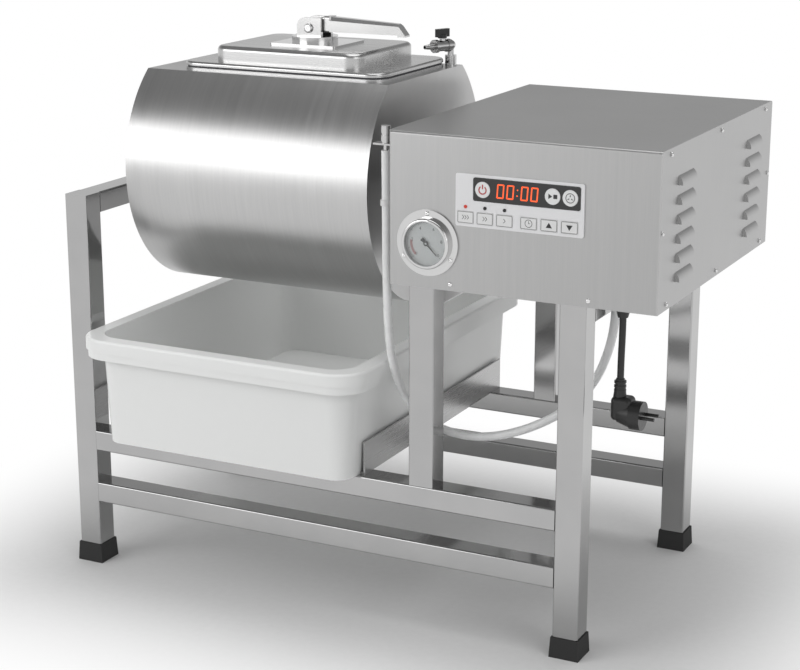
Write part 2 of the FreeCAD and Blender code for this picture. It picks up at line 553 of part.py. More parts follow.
# ---- Lever on the lid --------------------------------------------------------------------------
def make_lever():
    """Bracket with two ears, the cam lever between them, and its bolt."""
    pivot = (HATCH_X, DRUM_Y, PIVOT_Z)
    pad_x, pad_top = HATCH_X + PAD_SHIFT, LID_TOP + PAD_THICKNESS
    pad = rounded_slab(pad_x - PAD_LENGTH / 2, pad_x + PAD_LENGTH / 2, DRUM_Y - PAD_WIDTH / 2,
                       DRUM_Y + PAD_WIDTH / 2, LID_TOP, pad_top, 4.0)
    disc = rod(BASE_DISC_R, (HATCH_X, DRUM_Y, pad_top), Z_AXIS, BASE_DISC_HEIGHT)
    ears = [bracket_ear(DRUM_Y + side * (EAR_GAP + EAR_THICKNESS) / 2 - EAR_THICKNESS / 2) for side in (-1, 1)]
    bracket = fuse(pad, disc, *ears)
    trough = rod(LEVER_BOSS_R + 0.6, (HATCH_X, DRUM_Y - EAR_GAP / 2, PIVOT_Z), Y_AXIS, EAR_GAP)
    bracket = bracket.cut(trough)
    bore = rod(LEVER_BOLT_R + SEAT, (HATCH_X, DRUM_Y - EAR_GAP, PIVOT_Z), Y_AXIS, 2 * EAR_GAP)
    emit("lever_bracket", bracket.cut(bore))
    emit("cam_lever", lever_solid(pivot))
    reach = EAR_GAP / 2 + EAR_THICKNESS
    shank = rod(LEVER_BOLT_R, (HATCH_X, DRUM_Y - reach, PIVOT_Z), Y_AXIS, 2 * reach)
    head = rod(LEVER_BOLT_R + 3.0, (HATCH_X, DRUM_Y - reach - 4.0, PIVOT_Z), Y_AXIS, 4.0)
    head = head.makeFillet(2.5, [e for e in head.Edges if e.BoundBox.YMax < DRUM_Y - reach - 3.99])
    nut = rod(LEVER_BOLT_R + 3.0, (HATCH_X, DRUM_Y + reach, PIVOT_Z), Y_AXIS, 5.0)
    emit("lever_bolt", fuse(shank, head, nut))


def bracket_ear(y):
    """One upright ear of the bracket, rounded over at its upper left."""
    left, top = HATCH_X - EAR_LENGTH / 2, PIVOT_Z + EAR_OVER_PIVOT
    ear = block(left, left + EAR_LENGTH, y, y + EAR_THICKNESS, LID_TOP + PAD_THICKNESS, top)
    return ear.makeFillet(EAR_ROUND, [e for e in edges_at(ear, top) if e.BoundBox.XMax < left + 0.01])


def lever_solid(pivot):
    """The lever at rest, pointing along +X: boss, collar and a tapered channel open below."""
    x, y, z = pivot
    boss_width = EAR_GAP - 2 * LEVER_SIDE_GAP
    boss = rod(LEVER_BOSS_R, (x, y - boss_width / 2, z), Y_AXIS, boss_width)
    root, tip = x + EAR_LENGTH / 2 + 1.5, x + LEVER_LENGTH
    low = z - LEVER_UNDER_PIVOT
    neck = block(x, root, y - boss_width / 4, y + boss_width / 4, low, z + LEVER_BOSS_R - 1.0)
    half = LEVER_ROOT_WIDTH / 2
    collar = block(root, root + COLLAR_LENGTH, y - half, y + half, low - COLLAR_OVER_HANDLE,
                   low + LEVER_ROOT_HEIGHT + COLLAR_OVER_HANDLE)
    collar = collar.makeFillet(3.0, [e for e in collar.Edges if is_along(e, X_AXIS)])
    start = root + COLLAR_LENGTH
    handle = tapered_bar(start, tip, y, low, 0.0)
    channel = tapered_bar(start + LEVER_SKIN, tip - 1.5 * LEVER_SKIN, y, low, LEVER_SKIN)
    lip_length, lip_thickness = LEVER_LIP
    lip_half = LEVER_TIP_WIDTH / 2
    lip = block(tip - lip_length, tip, y - lip_half, y + lip_half, low - lip_thickness, low)
    lever = fuse(boss, neck, collar, handle.cut(channel), lip)
    bore = rod(LEVER_BOLT_R + BOLT_FIT, (x, y - EAR_GAP, z), Y_AXIS, 2 * EAR_GAP)
    return lever.cut(bore)


def tapered_bar(x0, x1, y, low, skin):
    """A bar with a level lower edge that narrows from root to tip, where it slants back; skin draws its sides in."""
    sections = []
    for x, width, height in ((x0, LEVER_ROOT_WIDTH, LEVER_ROOT_HEIGHT), (x1, LEVER_TIP_WIDTH, LEVER_TIP_HEIGHT)):
        half, top, bottom = width / 2 - skin, low + height - skin, low - skin
        bevel = half * 0.45
        pts = [V(x, y - half, bottom), V(x, y - half, top - bevel), V(x, y - half + bevel, top),
               V(x, y + half - bevel, top), V(x, y + half, top - bevel), V(x, y + half, bottom)]
        sections.append(Part.makePolygon(pts + pts[:1]))
    bar = Part.makeLoft(sections, True, True)
    corners = [V(x1, y - LEVER_ROOT_WIDTH, low), V(x1 - LEVER_TIP_SLOPE, y - LEVER_ROOT_WIDTH, low + LEVER_TIP_HEIGHT),
               V(x1 - LEVER_TIP_SLOPE, y - LEVER_ROOT_WIDTH, low + LEVER_ROOT_HEIGHT),
               V(x1 + 1.0, y - LEVER_ROOT_WIDTH, low + LEVER_ROOT_HEIGHT), V(x1 + 1.0, y - LEVER_ROOT_WIDTH, low)]
    wedge = Part.Face(Part.makePolygon(corners + corners[:1])).extrude(V(0, 2 * LEVER_ROOT_WIDTH, 0))
    return bar.cut(wedge)


# ---- Vacuum valve ------------------------------------------------------------------------------
def make_valve():
    """Boss and pipe on the flat, the valve body pointing forward, and its quarter-turn handle."""
    x, y = DRUM_RIGHT - VALVE_INSET, DRUM_Y + FLAT_HALF - VALVE_INSET
    turn = math.radians(VALVE_TURN)
    ahead = V(-math.sin(turn), -math.cos(turn), 0)
    axis_z = FLAT_Z + VALVE_AXIS_HEIGHT
    base = rod(VALVE_BASE_R, (x, y, FLAT_Z), Z_AXIS, VALVE_BASE_HEIGHT)
    pipe = rod(VALVE_PIPE_R, (x, y, FLAT_Z), Z_AXIS, VALVE_AXIS_HEIGHT)
    elbow = Part.makeSphere(VALVE_BODY_R - 1.0, V(x, y, axis_z))
    start = V(x, y, axis_z)
    body = Part.makeCylinder(VALVE_BODY_R, VALVE_BODY_LENGTH, start, ahead)
    collars = [Part.makeCylinder(VALVE_HEX_R, 6.0, start + ahead * d, ahead) for d in (4.0, VALVE_BODY_LENGTH - 6.0)]
    nozzle = Part.makeCone(VALVE_NOZZLE_R + 1.0, VALVE_NOZZLE_R - 1.0, VALVE_NOZZLE_LENGTH, start + ahead * VALVE_BODY_LENGTH, ahead)
    middle = start + ahead * (VALVE_BODY_LENGTH / 2)
    stem = rod(VALVE_STEM_R, (middle.x, middle.y, axis_z), Z_AXIS, VALVE_BODY_R + VALVE_STEM_HEIGHT)
    valve = fuse(base, pipe, elbow, body, *collars, nozzle, stem)
    bore_start = start + ahead * (VALVE_BODY_LENGTH - 2.0)
    valve = valve.cut(Part.makeCylinder(VALVE_BORE_R, VALVE_NOZZLE_LENGTH + 4.0, bore_start, ahead))
    emit("vacuum_valve", valve)
    length, width, height = VALVE_HANDLE
    top = axis_z + VALVE_BODY_R + VALVE_STEM_HEIGHT
    grip = Part.makeBox(length, width, height, V(-length / 2, -width / 2, 2.0))
    grip = grip.makeFillet(2.5, [e for e in grip.Edges if is_along(e, Z_AXIS)])
    hub = Part.makeCylinder(7.0, 6.0)
    handle = fuse(grip, hub)
    handle.rotate(V(0, 0, 0), Z_AXIS, 90 - VALVE_TURN)
    handle.translate(V(middle.x, middle.y, top + SEAT))
    emit("valve_handle", handle)


# ---- Drive train in the box --------------------------------------------------------------------
def make_drive():
    """Drive hub and worm wheel on the drum's axis, the gearbox, and the motor beneath it."""
    wheel_x = GEARBOX_X - WHEEL_WIDTH / 2
    hub = rod(DRIVE_HUB_R, (DRUM_RIGHT, DRUM_Y, DRUM_Z), X_AXIS, DRIVE_HUB_LENGTH)
    shaft_end = GEARBOX_LEFT + GEARBOX_LENGTH - GEARBOX_WALL - 0.5
    shaft = rod(OUTPUT_SHAFT_R, (DRUM_RIGHT, DRUM_Y, DRUM_Z), X_AXIS, shaft_end - DRUM_RIGHT)
    emit("drive_hub", fuse(hub, shaft))
    emit("worm_wheel", worm_wheel(wheel_x))
    y0, y1 = DRUM_Y - GEARBOX_DEPTH / 2, DRUM_Y + GEARBOX_DEPTH / 2
    top, x1 = DRUM_Z + WHEEL_R + 10.0 + GEARBOX_WALL, GEARBOX_LEFT + GEARBOX_LENGTH
    case = block(GEARBOX_LEFT, x1, y0, y1, FLOOR_IN_BOX, top)
    case = case.makeFillet(8.0, [e for e in case.Edges if is_along(e, Z_AXIS)])
    low = WORM_Z - WORM_R - 8.0
    cavity = block(GEARBOX_LEFT + GEARBOX_WALL, x1 - GEARBOX_WALL, y0 + GEARBOX_WALL, y1 - GEARBOX_WALL, low, top - GEARBOX_WALL)
    shaft_hole = rod(OUTPUT_SHAFT_R + SHAFT_FIT, (GEARBOX_LEFT - 1, DRUM_Y, DRUM_Z), X_AXIS, GEARBOX_WALL + 2)
    worm_hole = rod(MOTOR_SHAFT_R + SHAFT_FIT, (GEARBOX_X, y1 - GEARBOX_WALL - 1, WORM_Z), Y_AXIS, GEARBOX_WALL + 2)
    emit("gearbox_housing", case.cut(cavity).cut(shaft_hole).cut(worm_hole))
    make_motor(y0, y1)


def worm_wheel(x0):
    """A toothed wheel keyed on the output shaft."""
    wheel = ring(WHEEL_R, OUTPUT_SHAFT_R, (x0, DRUM_Y, DRUM_Z), X_AXIS, WHEEL_WIDTH)
    slots = []
    for k in range(WHEEL_TEETH):
        slot = block(x0, x0 + WHEEL_WIDTH, DRUM_Y - 1.7, DRUM_Y + 1.7, DRUM_Z + WHEEL_R - TOOTH_DEPTH, DRUM_Z + WHEEL_R + 2)
        slot.rotate(V(x0, DRUM_Y, DRUM_Z), X_AXIS, (k + 0.5) * 360.0 / WHEEL_TEETH)
        slots.append(slot)
    return wheel.cut(slots)


def make_motor(gearbox_front, gearbox_rear):
    """Finned motor housing behind the gearbox, and its shaft with rotor and worm."""
    x, z = GEARBOX_X, WORM_Z
    body = rod(MOTOR_R, (x, gearbox_rear, z), Y_AXIS, MOTOR_LENGTH)
    fins = []
    for k in range(MOTOR_FIN_COUNT):
        fin = block(x - 1.5, x + 1.5, gearbox_rear + 12, gearbox_rear + MOTOR_LENGTH - 12, z, z + MOTOR_R + MOTOR_FIN)
        fin.rotate(V(x, 0, z), Y_AXIS, k * 360.0 / MOTOR_FIN_COUNT)
        fins.append(fin)
    pedestal = block(x - MOTOR_R * 0.7, x + MOTOR_R * 0.7, gearbox_rear + 20, gearbox_rear + MOTOR_LENGTH - 20, FLOOR_IN_BOX, z)
    body = fuse(body, pedestal, *fins)
    cavity = rod(ROTOR_R + 2.0, (x, gearbox_rear + MOTOR_WALL, z), Y_AXIS, MOTOR_LENGTH - 2 * MOTOR_WALL)
    hole = rod(MOTOR_SHAFT_R + SHAFT_FIT, (x, gearbox_rear - 1, z), Y_AXIS, MOTOR_WALL + 2)
    emit("motor_housing", body.cut(cavity).cut(hole))
    worm_front = gearbox_front + GEARBOX_WALL + 6.0
    shaft_end = gearbox_rear + MOTOR_LENGTH - MOTOR_WALL - 1.0
    shaft = rod(MOTOR_SHAFT_R, (x, worm_front, z), Y_AXIS, shaft_end - worm_front)
    worm = rod(WORM_R, (x, DRUM_Y - 26.0, z), Y_AXIS, 52.0)
    rotor = rod(ROTOR_R, (x, gearbox_rear + 28.0, z), Y_AXIS, ROTOR_LENGTH)
    emit("motor_shaft", fuse(shaft, worm, rotor))


def make_box_contents():
    """Vacuum pump and control board."""
    x1, y0 = BOX_RIGHT - PUMP_FROM_BOX_RIGHT, BOX_FRONT + PUMP_FROM_BOX_FRONT
    x0, y1 = x1 - PUMP_LENGTH, y0 + PUMP_DEPTH
    pump = block(x0, x1, y0, y1, FLOOR_IN_BOX, FLOOR_IN_BOX + PUMP_HEIGHT)
    pump = pump.makeFillet(10.0, [e for e in pump.Edges if is_along(e, X_AXIS)])
    heads = [rod(PUMP_HEAD_R, (x, (y0 + y1) / 2, FLOOR_IN_BOX + PUMP_HEIGHT - 2), Z_AXIS, PUMP_HEAD_HEIGHT)
             for x in (x0 + PUMP_HEAD_R + 3, x1 - PUMP_HEAD_R - 3)]
    feet = block(x0 + 8, x1 - 8, y0 + 6, y1 - 6, FLOOR_IN_BOX, FLOOR_IN_BOX + 20)
    emit("vacuum_pump", fuse(pump, feet, *heads))
    bx = PANEL_LEFT + (PANEL_LENGTH - BOARD_LENGTH) / 2
    bz = PANEL_TOP - (PANEL_HEIGHT + BOARD_HEIGHT) / 2
    wall = BOX_FRONT + SHEET
    board = block(bx, bx + BOARD_LENGTH, wall + BOARD_STANDOFF, wall + BOARD_STANDOFF + BOARD_THICKNESS, bz, bz + BOARD_HEIGHT)
    posts = [rod(3.0, (x, wall, z), Y_AXIS, BOARD_STANDOFF + 1) for x in (bx + 8, bx + BOARD_LENGTH - 8)
             for z in (bz + 8, bz + BOARD_HEIGHT - 8)]
    chips = [block(bx + 30 + 34 * k, bx + 52 + 34 * k, wall + BOARD_STANDOFF + 1, wall + BOARD_STANDOFF + 9, bz + 18, bz + 40)
             for k in range(3)]
    emit("control_board", fuse(board, *posts, *chips))


# ---- Control box -------------------------------------------------------------------------------
def make_box():
    """Bottom plate, folded housing, louvred side cover, and the small screws."""
    emit("box_base_plate", base_plate())
    emit("box_housing", housing())
    emit("louvred_side_cover", side_cover())
    emit("housing_screws", *housing_screws())


def base_plate():
    """The plate on the support rails that carries what is in the box."""
    plate = block(BOX_LEFT + SHEET, BOX_RIGHT - SHEET, BOX_FRONT + SHEET, BOX_REAR - SHEET, BOX_BOTTOM, FLOOR_IN_BOX)
    return plate


def housing():
    """Front, top, rear and left walls, folded from sheet with small outside radii."""
    x0, x1 = BOX_LEFT, BOX_RIGHT - SHEET
    outer = block(x0, x1, BOX_FRONT, BOX_REAR, BOX_BOTTOM, BOX_TOP)
    folds = [e for e in outer.Edges if is_along(e, X_AXIS) and e.BoundBox.ZMin > BOX_TOP - 1]
    folds += [e for e in outer.Edges if is_along(e, Z_AXIS) and e.BoundBox.XMax < x0 + 1]
    outer = outer.makeFillet(CORNER_BEND, folds)
    inner = block(x0 + SHEET, x1, BOX_FRONT + SHEET, BOX_REAR - SHEET, BOX_BOTTOM, BOX_TOP - SHEET)
    shell = outer.cut(inner)
    shaft_hole = rod(OUTPUT_SHAFT_R + 4.0, (x0 - 1, DRUM_Y, DRUM_Z), X_AXIS, SHEET + 2)
    gauge_hole = rod(GAUGE_CASE_R + 0.5, (GAUGE_X, BOX_FRONT - 1, GAUGE_Z), Y_AXIS, SHEET + 2)
    return shell.cut(shaft_hole).cut(gauge_hole).cut(screw_shanks("front"))


def louvre(y, top):
    """A pressed hood: closed above and at its ends, open below, and the slot behind it."""
    def hood(out, up, y0, y1):
        pts = [V(BOX_RIGHT, y0, top - LOUVRE_HEIGHT), V(BOX_RIGHT + out, y0, top - LOUVRE_HEIGHT),
               V(BOX_RIGHT + out * 0.72, y0, top - LOUVRE_HEIGHT * 0.42 + up * 0.2), V(BOX_RIGHT, y0, top + up)]
        arc = Part.Arc(pts[1], pts[2], pts[3]).toShape()
        wire = Part.Wire([Part.LineSegment(pts[0], pts[1]).toShape(), arc, Part.LineSegment(pts[3], pts[0]).toShape()])
        return Part.Face(wire).extrude(V(0, y1 - y0, 0))

    skin = hood(LOUVRE_STANDOFF, 0.0, y, y + LOUVRE_LENGTH)
    core = hood(LOUVRE_STANDOFF - LOUVRE_SKIN, -LOUVRE_SKIN, y + LOUVRE_SKIN, y + LOUVRE_LENGTH - LOUVRE_SKIN)
    slot = block(BOX_RIGHT - 2 * SHEET, BOX_RIGHT, y + 3, y + LOUVRE_LENGTH - 3, top - LOUVRE_HEIGHT, top - 3.0)
    return skin.cut(core), slot


def side_cover():
    """The flat right side with two columns of louvres."""
    plate = block(BOX_RIGHT - SHEET, BOX_RIGHT, BOX_FRONT, BOX_REAR, BOX_BOTTOM, BOX_TOP)
    plate = plate.makeFillet(CORNER_BEND, [e for e in plate.Edges if is_along(e, X_AXIS) and e.BoundBox.ZMin > BOX_TOP - 1])
    hoods, slots = [], []
    for inset in (LOUVRE_FRONT_INSET, LOUVRE_REAR_INSET):
        for k in range(LOUVRE_COUNT):
            hood, slot = louvre(BOX_FRONT + inset, BOX_TOP - LOUVRE_FIRST_DROP - k * LOUVRE_PITCH)
            hoods.append(hood)
            slots.append(slot)
    return plate.cut(slots).fuse(hoods).cut(screw_shanks("side"))


def cover_screw_places():
    """Where the side cover's screws are, as (y, z)."""
    low, high, middle = BOX_BOTTOM + 8.0, BOX_TOP - 8.0, (BOX_BOTTOM + BOX_TOP) / 2
    return [(BOX_FRONT + 34, high), (BOX_MID_Y, high), (BOX_REAR - 34, high), (BOX_FRONT + 9, middle),
            (BOX_REAR - 9, middle), (BOX_FRONT + 34, low), (BOX_MID_Y, low), (BOX_REAR - 34, low)]


def front_screw_places():
    """Where the screws through the housing's front into the bottom plate's fold are, as (x, z)."""
    return [(BOX_LEFT + offset, BOX_BOTTOM + FRONT_SCREW_HEIGHT) for offset in FRONT_SCREW_OFFSETS]


def gauge_screw_places():
    """Three screws on the gauge's flange, as (x, z)."""
    r = GAUGE_SCREW_PCD / 2
    return [(GAUGE_X + r * math.cos(math.radians(a)), GAUGE_Z + r * math.sin(math.radians(a))) for a in (90, 210, 330)]


def screw(face, direction, depth):
    """A pan-head screw whose head lies outside a face; direction points out."""
    head = Part.makeCone(COVER_SCREW_R, COVER_SCREW_R * 0.7, COVER_SCREW_HEAD, face, direction)
    return head.fuse(Part.makeCylinder(SCREW_SHANK_R, depth, face - direction * depth, direction))


def screw_shanks(where, extra=SEAT):
    """Clearance for the screws' shanks, on the side cover or on the front."""
    if where == "side":
        return [rod(SCREW_SHANK_R + extra, (BOX_RIGHT - 2 * SHEET, y, z), X_AXIS, 3 * SHEET) for y, z in cover_screw_places()]
    places = front_screw_places() + gauge_screw_places()
    return [rod(SCREW_SHANK_R + extra, (x, BOX_FRONT - 2 * GAUGE_FLANGE, z), Y_AXIS, 3 * SHEET + 2 * GAUGE_FLANGE)
            for x, z in places]


def housing_screws():
    """All the small screws."""
    screws = [screw(V(BOX_RIGHT, y, z), X_AXIS, SHEET) for y, z in cover_screw_places()]
    screws += [screw(V(x, BOX_FRONT, z), -Y_AXIS, SHEET) for x, z in front_screw_places()]
    screws += [screw(V(x, BOX_FRONT - GAUGE_FLANGE, z), -Y_AXIS, SHEET + GAUGE_FLANGE) for x, z in gauge_screw_places()]
    return screws


# ---- Membrane panel ----------------------------------------------------------------------------
def upright_slab(x0, x1, z0, z1, y0, y1, radius):
    """A thin slab facing the front, with rounded corners."""
    slab = block(x0, x1, y0, y1, z0, z1)
    return slab.makeFillet(radius, [e for e in slab.Edges if is_along(e, Y_AXIS)])


def key_blank(name, gap, y0, y1):
    """One key's outline between two depths, drawn larger by gap for its pocket."""
    if name in ROUND_KEYS:
        x, z = PANEL_LEFT + ROUND_KEYS[name], WINDOW_TOP - WINDOW_HEIGHT / 2
        return rod(ROUND_KEY_R + gap, (x, y0, z), Y_AXIS, y1 - y0)
    x, z = PANEL_LEFT + SQUARE_KEYS[name], PANEL_TOP - KEY_ROW_DROP
    half_x, half_z = SQUARE_KEY[0] / 2 + gap, SQUARE_KEY[1] / 2 + gap
    return upright_slab(x - half_x, x + half_x, z - half_z, z + half_z, y0, y1, 1.5)


def make_panel():
    """Panel, dark window, nine keys in pockets, and three status lamps."""
    keys = list(ROUND_KEYS) + list(SQUARE_KEYS)
    front = PANEL_FRONT - WINDOW_THICKNESS - 1
    pocket_floor = PANEL_FRONT + PANEL_THICKNESS - 0.4
    pockets = [key_blank(name, KEY_GAP, front, pocket_floor) for name in keys]
    x1, z0 = PANEL_LEFT + PANEL_LENGTH, PANEL_TOP - PANEL_HEIGHT
    panel = upright_slab(PANEL_LEFT, x1, z0, PANEL_TOP, PANEL_FRONT, BOX_FRONT, PANEL_CORNER)
    lamps = [(PANEL_LEFT + SQUARE_KEYS[name], PANEL_TOP - LAMP_ROW_DROP) for name in ("fast_key", "medium_key", "slow_key")]
    lamp_holes = [rod(LAMP_R, (x, front, z), Y_AXIS, PANEL_THICKNESS + 0.5) for x, z in lamps]
    emit("membrane_panel", panel.cut(pockets + lamp_holes))
    wx, wz = PANEL_LEFT + WINDOW_FROM_PANEL_LEFT, WINDOW_TOP - WINDOW_HEIGHT
    window = upright_slab(wx, wx + WINDOW_LENGTH, wz, WINDOW_TOP, PANEL_FRONT - WINDOW_THICKNESS, PANEL_FRONT, PANEL_CORNER)
    emit("display_window", window.cut(pockets))
    for name in keys:
        outside = PANEL_FRONT - KEY_PROUD - (WINDOW_THICKNESS if name in ROUND_KEYS else 0.0)
        emit(name, key_blank(name, 0.0, outside, pocket_floor - KEY_TRAVEL - 0.1))
    floor = front + PANEL_THICKNESS + 0.5
    emit("status_lamps", *[rod(LAMP_R, (x, PANEL_FRONT - LAMP_PROUD, z), Y_AXIS, floor - PANEL_FRONT + LAMP_PROUD) for x, z in lamps])


# ---- Vacuum gauge ------------------------------------------------------------------------------
def make_gauge():
    """Flanged case, dial, needle on its stud, and the glass in the bezel."""
    x, z = GAUGE_X, GAUGE_Z
    face = BOX_FRONT - GAUGE_FLANGE
    rim = face - GAUGE_BEZEL_DEPTH
    flange = rod(GAUGE_FLANGE_R, (x, face, z), Y_AXIS, GAUGE_FLANGE)
    bezel = rod(GAUGE_BEZEL_R, (x, rim, z), Y_AXIS, GAUGE_BEZEL_DEPTH)
    bezel = bezel.makeFillet(3.0, [e for e in bezel.Edges if abs(e.BoundBox.YMax - rim) < 0.01])
    can = rod(GAUGE_CASE_R, (x, face, z), Y_AXIS, GAUGE_CASE_DEPTH)
    stem = rod(6.0, (x, face + GAUGE_CASE_DEPTH - 1, z), Y_AXIS, 20.0)
    bore = GAUGE_BEZEL_R - GAUGE_BEZEL_WALL
    cup = rod(bore, (x, rim - 1, z), Y_AXIS, GAUGE_BEZEL_DEPTH + 1)
    hollow = rod(GAUGE_CASE_R - GAUGE_CASE_WALL, (x, face, z), Y_AXIS, GAUGE_CASE_DEPTH - GAUGE_CASE_WALL)
    case = fuse(flange, bezel, can, stem).cut(cup).cut(hollow)
    holes = [rod(SCREW_SHANK_R + SEAT, (sx, face - 1, sz), Y_AXIS, GAUGE_FLANGE + 2) for sx, sz in gauge_screw_places()]
    emit("gauge_case", case.cut(holes))
    dial_front = face - GAUGE_DIAL
    stud_tip = dial_front - 4.0
    dial = rod(bore, (x, dial_front, z), Y_AXIS, GAUGE_DIAL)
    emit("gauge_dial", fuse(dial, rod(STUD_R, (x, stud_tip, z), Y_AXIS, 4.0)))
    emit("gauge_glass", rod(bore, (x, rim + 1.0, z), Y_AXIS, GAUGE_GLASS))
    emit("gauge_needle", needle(x, z, dial_front - 2.4))


def needle(x, z, y):
    """A slim pointer with a broad tail, lying in front of the dial."""
    pts = [(NEEDLE_LENGTH, 0.35), (0.0, 1.1), (-NEEDLE_TAIL, 3.0), (-NEEDLE_TAIL, -3.0), (0.0, -1.1), (NEEDLE_LENGTH, -0.35)]
    blade = Part.Face(Part.makePolygon([V(x + a, y, z + b) for a, b in pts + pts[:1]])).extrude(V(0, -NEEDLE_THICKNESS, 0))
    hub = rod(3.4, (x, y, z), -Y_AXIS, 1.6)
    pointer = fuse(blade, hub)
    pointer.rotate(V(x, y, z), -Y_AXIS, NEEDLE_REST_ANGLE)
    return pointer.cut(rod(STUD_R + SHAFT_FIT, (x, y + 3, z), -Y_AXIS, 8.0))


# ---- Tub ---------------------------------------------------------------------------------------
def tub_slab(half_x, half_y, z, radius):
    """A rounded rectangle as a wire at one height, round the tub's middle."""
    slab = rounded_slab(TUB_X - half_x, TUB_X + half_x, -half_y, half_y, z, z + 1.0, radius)
    bottom = min(slab.Faces, key=lambda f: f.CenterOfMass.z)
    return bottom.OuterWire


def tapered_body(draw, z0, z1, top_half):
    """A body that widens upwards between two heights; draw makes it smaller all round."""
    half_x, half_y = top_half
    share = (z0 - TUB_Z) / TUB_HEIGHT
    low_x = half_x - TUB_TAPER * (1 - share) - draw
    low_y = half_y - TUB_TAPER * (1 - share) - draw
    wires = [tub_slab(low_x, low_y, z0, TUB_FLOOR_CORNER - draw), tub_slab(half_x - draw, half_y - draw, z1, TUB_CORNER - draw)]
    return Part.makeLoft(wires, True, True)


def make_tub():
    """A tapered tub with a two-step rolled rim."""
    rim_x, rim_y = TUB_LENGTH / 2, TUB_DEPTH / 2
    top_half = (rim_x - TUB_RIM_OVERHANG, rim_y - TUB_RIM_OVERHANG)
    top = TUB_Z + TUB_HEIGHT
    body = tapered_body(0.0, TUB_Z, top, top_half)
    band = rounded_slab(TUB_X - rim_x, TUB_X + rim_x, -rim_y, rim_y, top - TUB_RIM_BAND, top, TUB_RIM_CORNER)
    band = band.makeFillet(4.0, edges_at(band, top))
    lip_x, lip_y = rim_x - TUB_LIP_INSET, rim_y - TUB_LIP_INSET
    lip = rounded_slab(TUB_X - lip_x, TUB_X + lip_x, -lip_y, lip_y, top - TUB_RIM_BAND - TUB_RIM_LIP, top - TUB_RIM_BAND,
                       TUB_RIM_CORNER - TUB_LIP_INSET)
    under = rounded_slab(TUB_X - rim_x + TUB_WALL + TUB_LIP_INSET, TUB_X + rim_x - TUB_WALL - TUB_LIP_INSET,
                         -rim_y + TUB_WALL + TUB_LIP_INSET, rim_y - TUB_WALL - TUB_LIP_INSET,
                         top - TUB_RIM_BAND - TUB_RIM_LIP, top - TUB_WALL - 1.0,
                         TUB_RIM_CORNER - TUB_LIP_INSET - TUB_WALL)
    inside = tapered_body(TUB_WALL, TUB_Z + TUB_WALL, top + 1.0, top_half)
    rim = band.fuse(lip).cut(under)
    emit("tub", rim.fuse(body).cut(inside))


# ---- Hose, cord and plug -----------------------------------------------------------------------
def make_hose():
    """Parking bracket, coupler with its barb, hose clip, the hose, and the fitting under the box."""
    x, y = HOSE_X, HOSE_Y
    low = HOLDER_TOP - HOLDER_THICKNESS
    shelf = block(BOX_LEFT - HOLDER_REACH, BOX_LEFT, y - HOLDER_DEPTH / 2, y + HOLDER_DEPTH / 2, low, HOLDER_TOP)
    tab = block(BOX_LEFT - HOLDER_THICKNESS, BOX_LEFT, y - HOLDER_DEPTH / 2, y + HOLDER_DEPTH / 2, low - 14.0, HOLDER_TOP)
    emit("hose_holder", fuse(shelf, tab).cut(rod(BARB_R + SEAT, (x, y, low - 1), Z_AXIS, HOLDER_THICKNESS + 2)))
    body = rod(COUPLER_R, (x, y, HOLDER_TOP), Z_AXIS, COUPLER_HEIGHT)
    waist = ring(COUPLER_R + 1, COUPLER_R - 1.0, (x, y, HOLDER_TOP + COUPLER_HEIGHT / 2 - 1.5), Z_AXIS, 3.0)
    barb = rod(BARB_R, (x, y, HOSE_START_Z), Z_AXIS, HOLDER_TOP - HOSE_START_Z)
    emit("hose_coupler", fuse(body.cut(waist), barb))
    emit("vacuum_hose", cord_tube("hose", HOSE_POINTS, HOSE_R))
    end = BOX_BOTTOM - FITTING_LENGTH
    fitting = rod(FITTING_R - 1.5, (FITTING_X, FITTING_Y, end), Z_AXIS, FITTING_LENGTH)
    emit("hose_fitting", fuse(fitting, hexagon(FITTING_X, FITTING_Y, BOX_BOTTOM - 6.0, FITTING_R, 6.0)))
    clip_z = 618.0
    band = ring(HOSE_R + 2.0, HOSE_R + 0.3, (x, y + 1, clip_z), Z_AXIS, 8.0)
    arm = block(x + HOSE_R + 1.0, BOX_LEFT, y, y + 2.5, clip_z, clip_z + 8.0)
    emit("hose_clip", fuse(band, arm))


def make_cord():
    """Gland, the hanging cord, and an angled plug with two pins."""
    nut = hexagon(CORD_X, CORD_Y, BOX_BOTTOM - 7.0, GLAND_R, 7.0)
    nose = Part.makeCone(GLAND_NOSE_R, GLAND_R - 1.0, GLAND_LENGTH - 7.0, V(CORD_X, CORD_Y, CORD_TOP), Z_AXIS)
    emit("cord_gland", fuse(nut, nose))
    emit("power_cord", cord_tube("cord", CORD_POINTS, CORD_R))
    emit("power_plug", plug())


def plug():
    """A moulded plug hanging from the cord: ribbed boot, body, round face to the right, two pins."""
    x, y, z = CORD_POINTS[-1]
    boot = Part.makeCone(CORD_R + 1.2, CORD_R + 5.0, 30.0, V(x, y, z), -Z_AXIS)
    ribs = [rod(CORD_R + 3.6, (x, y, z - 3.0 - 6.0 * k), -Z_AXIS, 3.0) for k in range(3)]
    face_x = x + PLUG_DEPTH - 12.0
    face_z = z - 30.0 - PLUG_FACE_R
    shoulder = Part.makeBox(30.0, 26.0, 34.0, V(x - 10.0, y - 13.0, face_z - 8.0))
    shoulder = shoulder.makeFillet(7.0, shoulder.Edges)
    face = rod(PLUG_FACE_R, (face_x - 16.0, y, face_z + 1.0), X_AXIS, 16.0)
    back = Part.makeCone(13.0, PLUG_FACE_R - 1.0, 20.0, V(face_x - 35.0, y, face_z + 1.0), X_AXIS)
    pins = [rod(PIN_R, (face_x - 1, y + s * PIN_SPACING / 2, face_z + 1.0), X_AXIS, PIN_LENGTH + 1) for s in (-1, 1)]
    return fuse(boot, *ribs, shoulder, back, face, *pins)


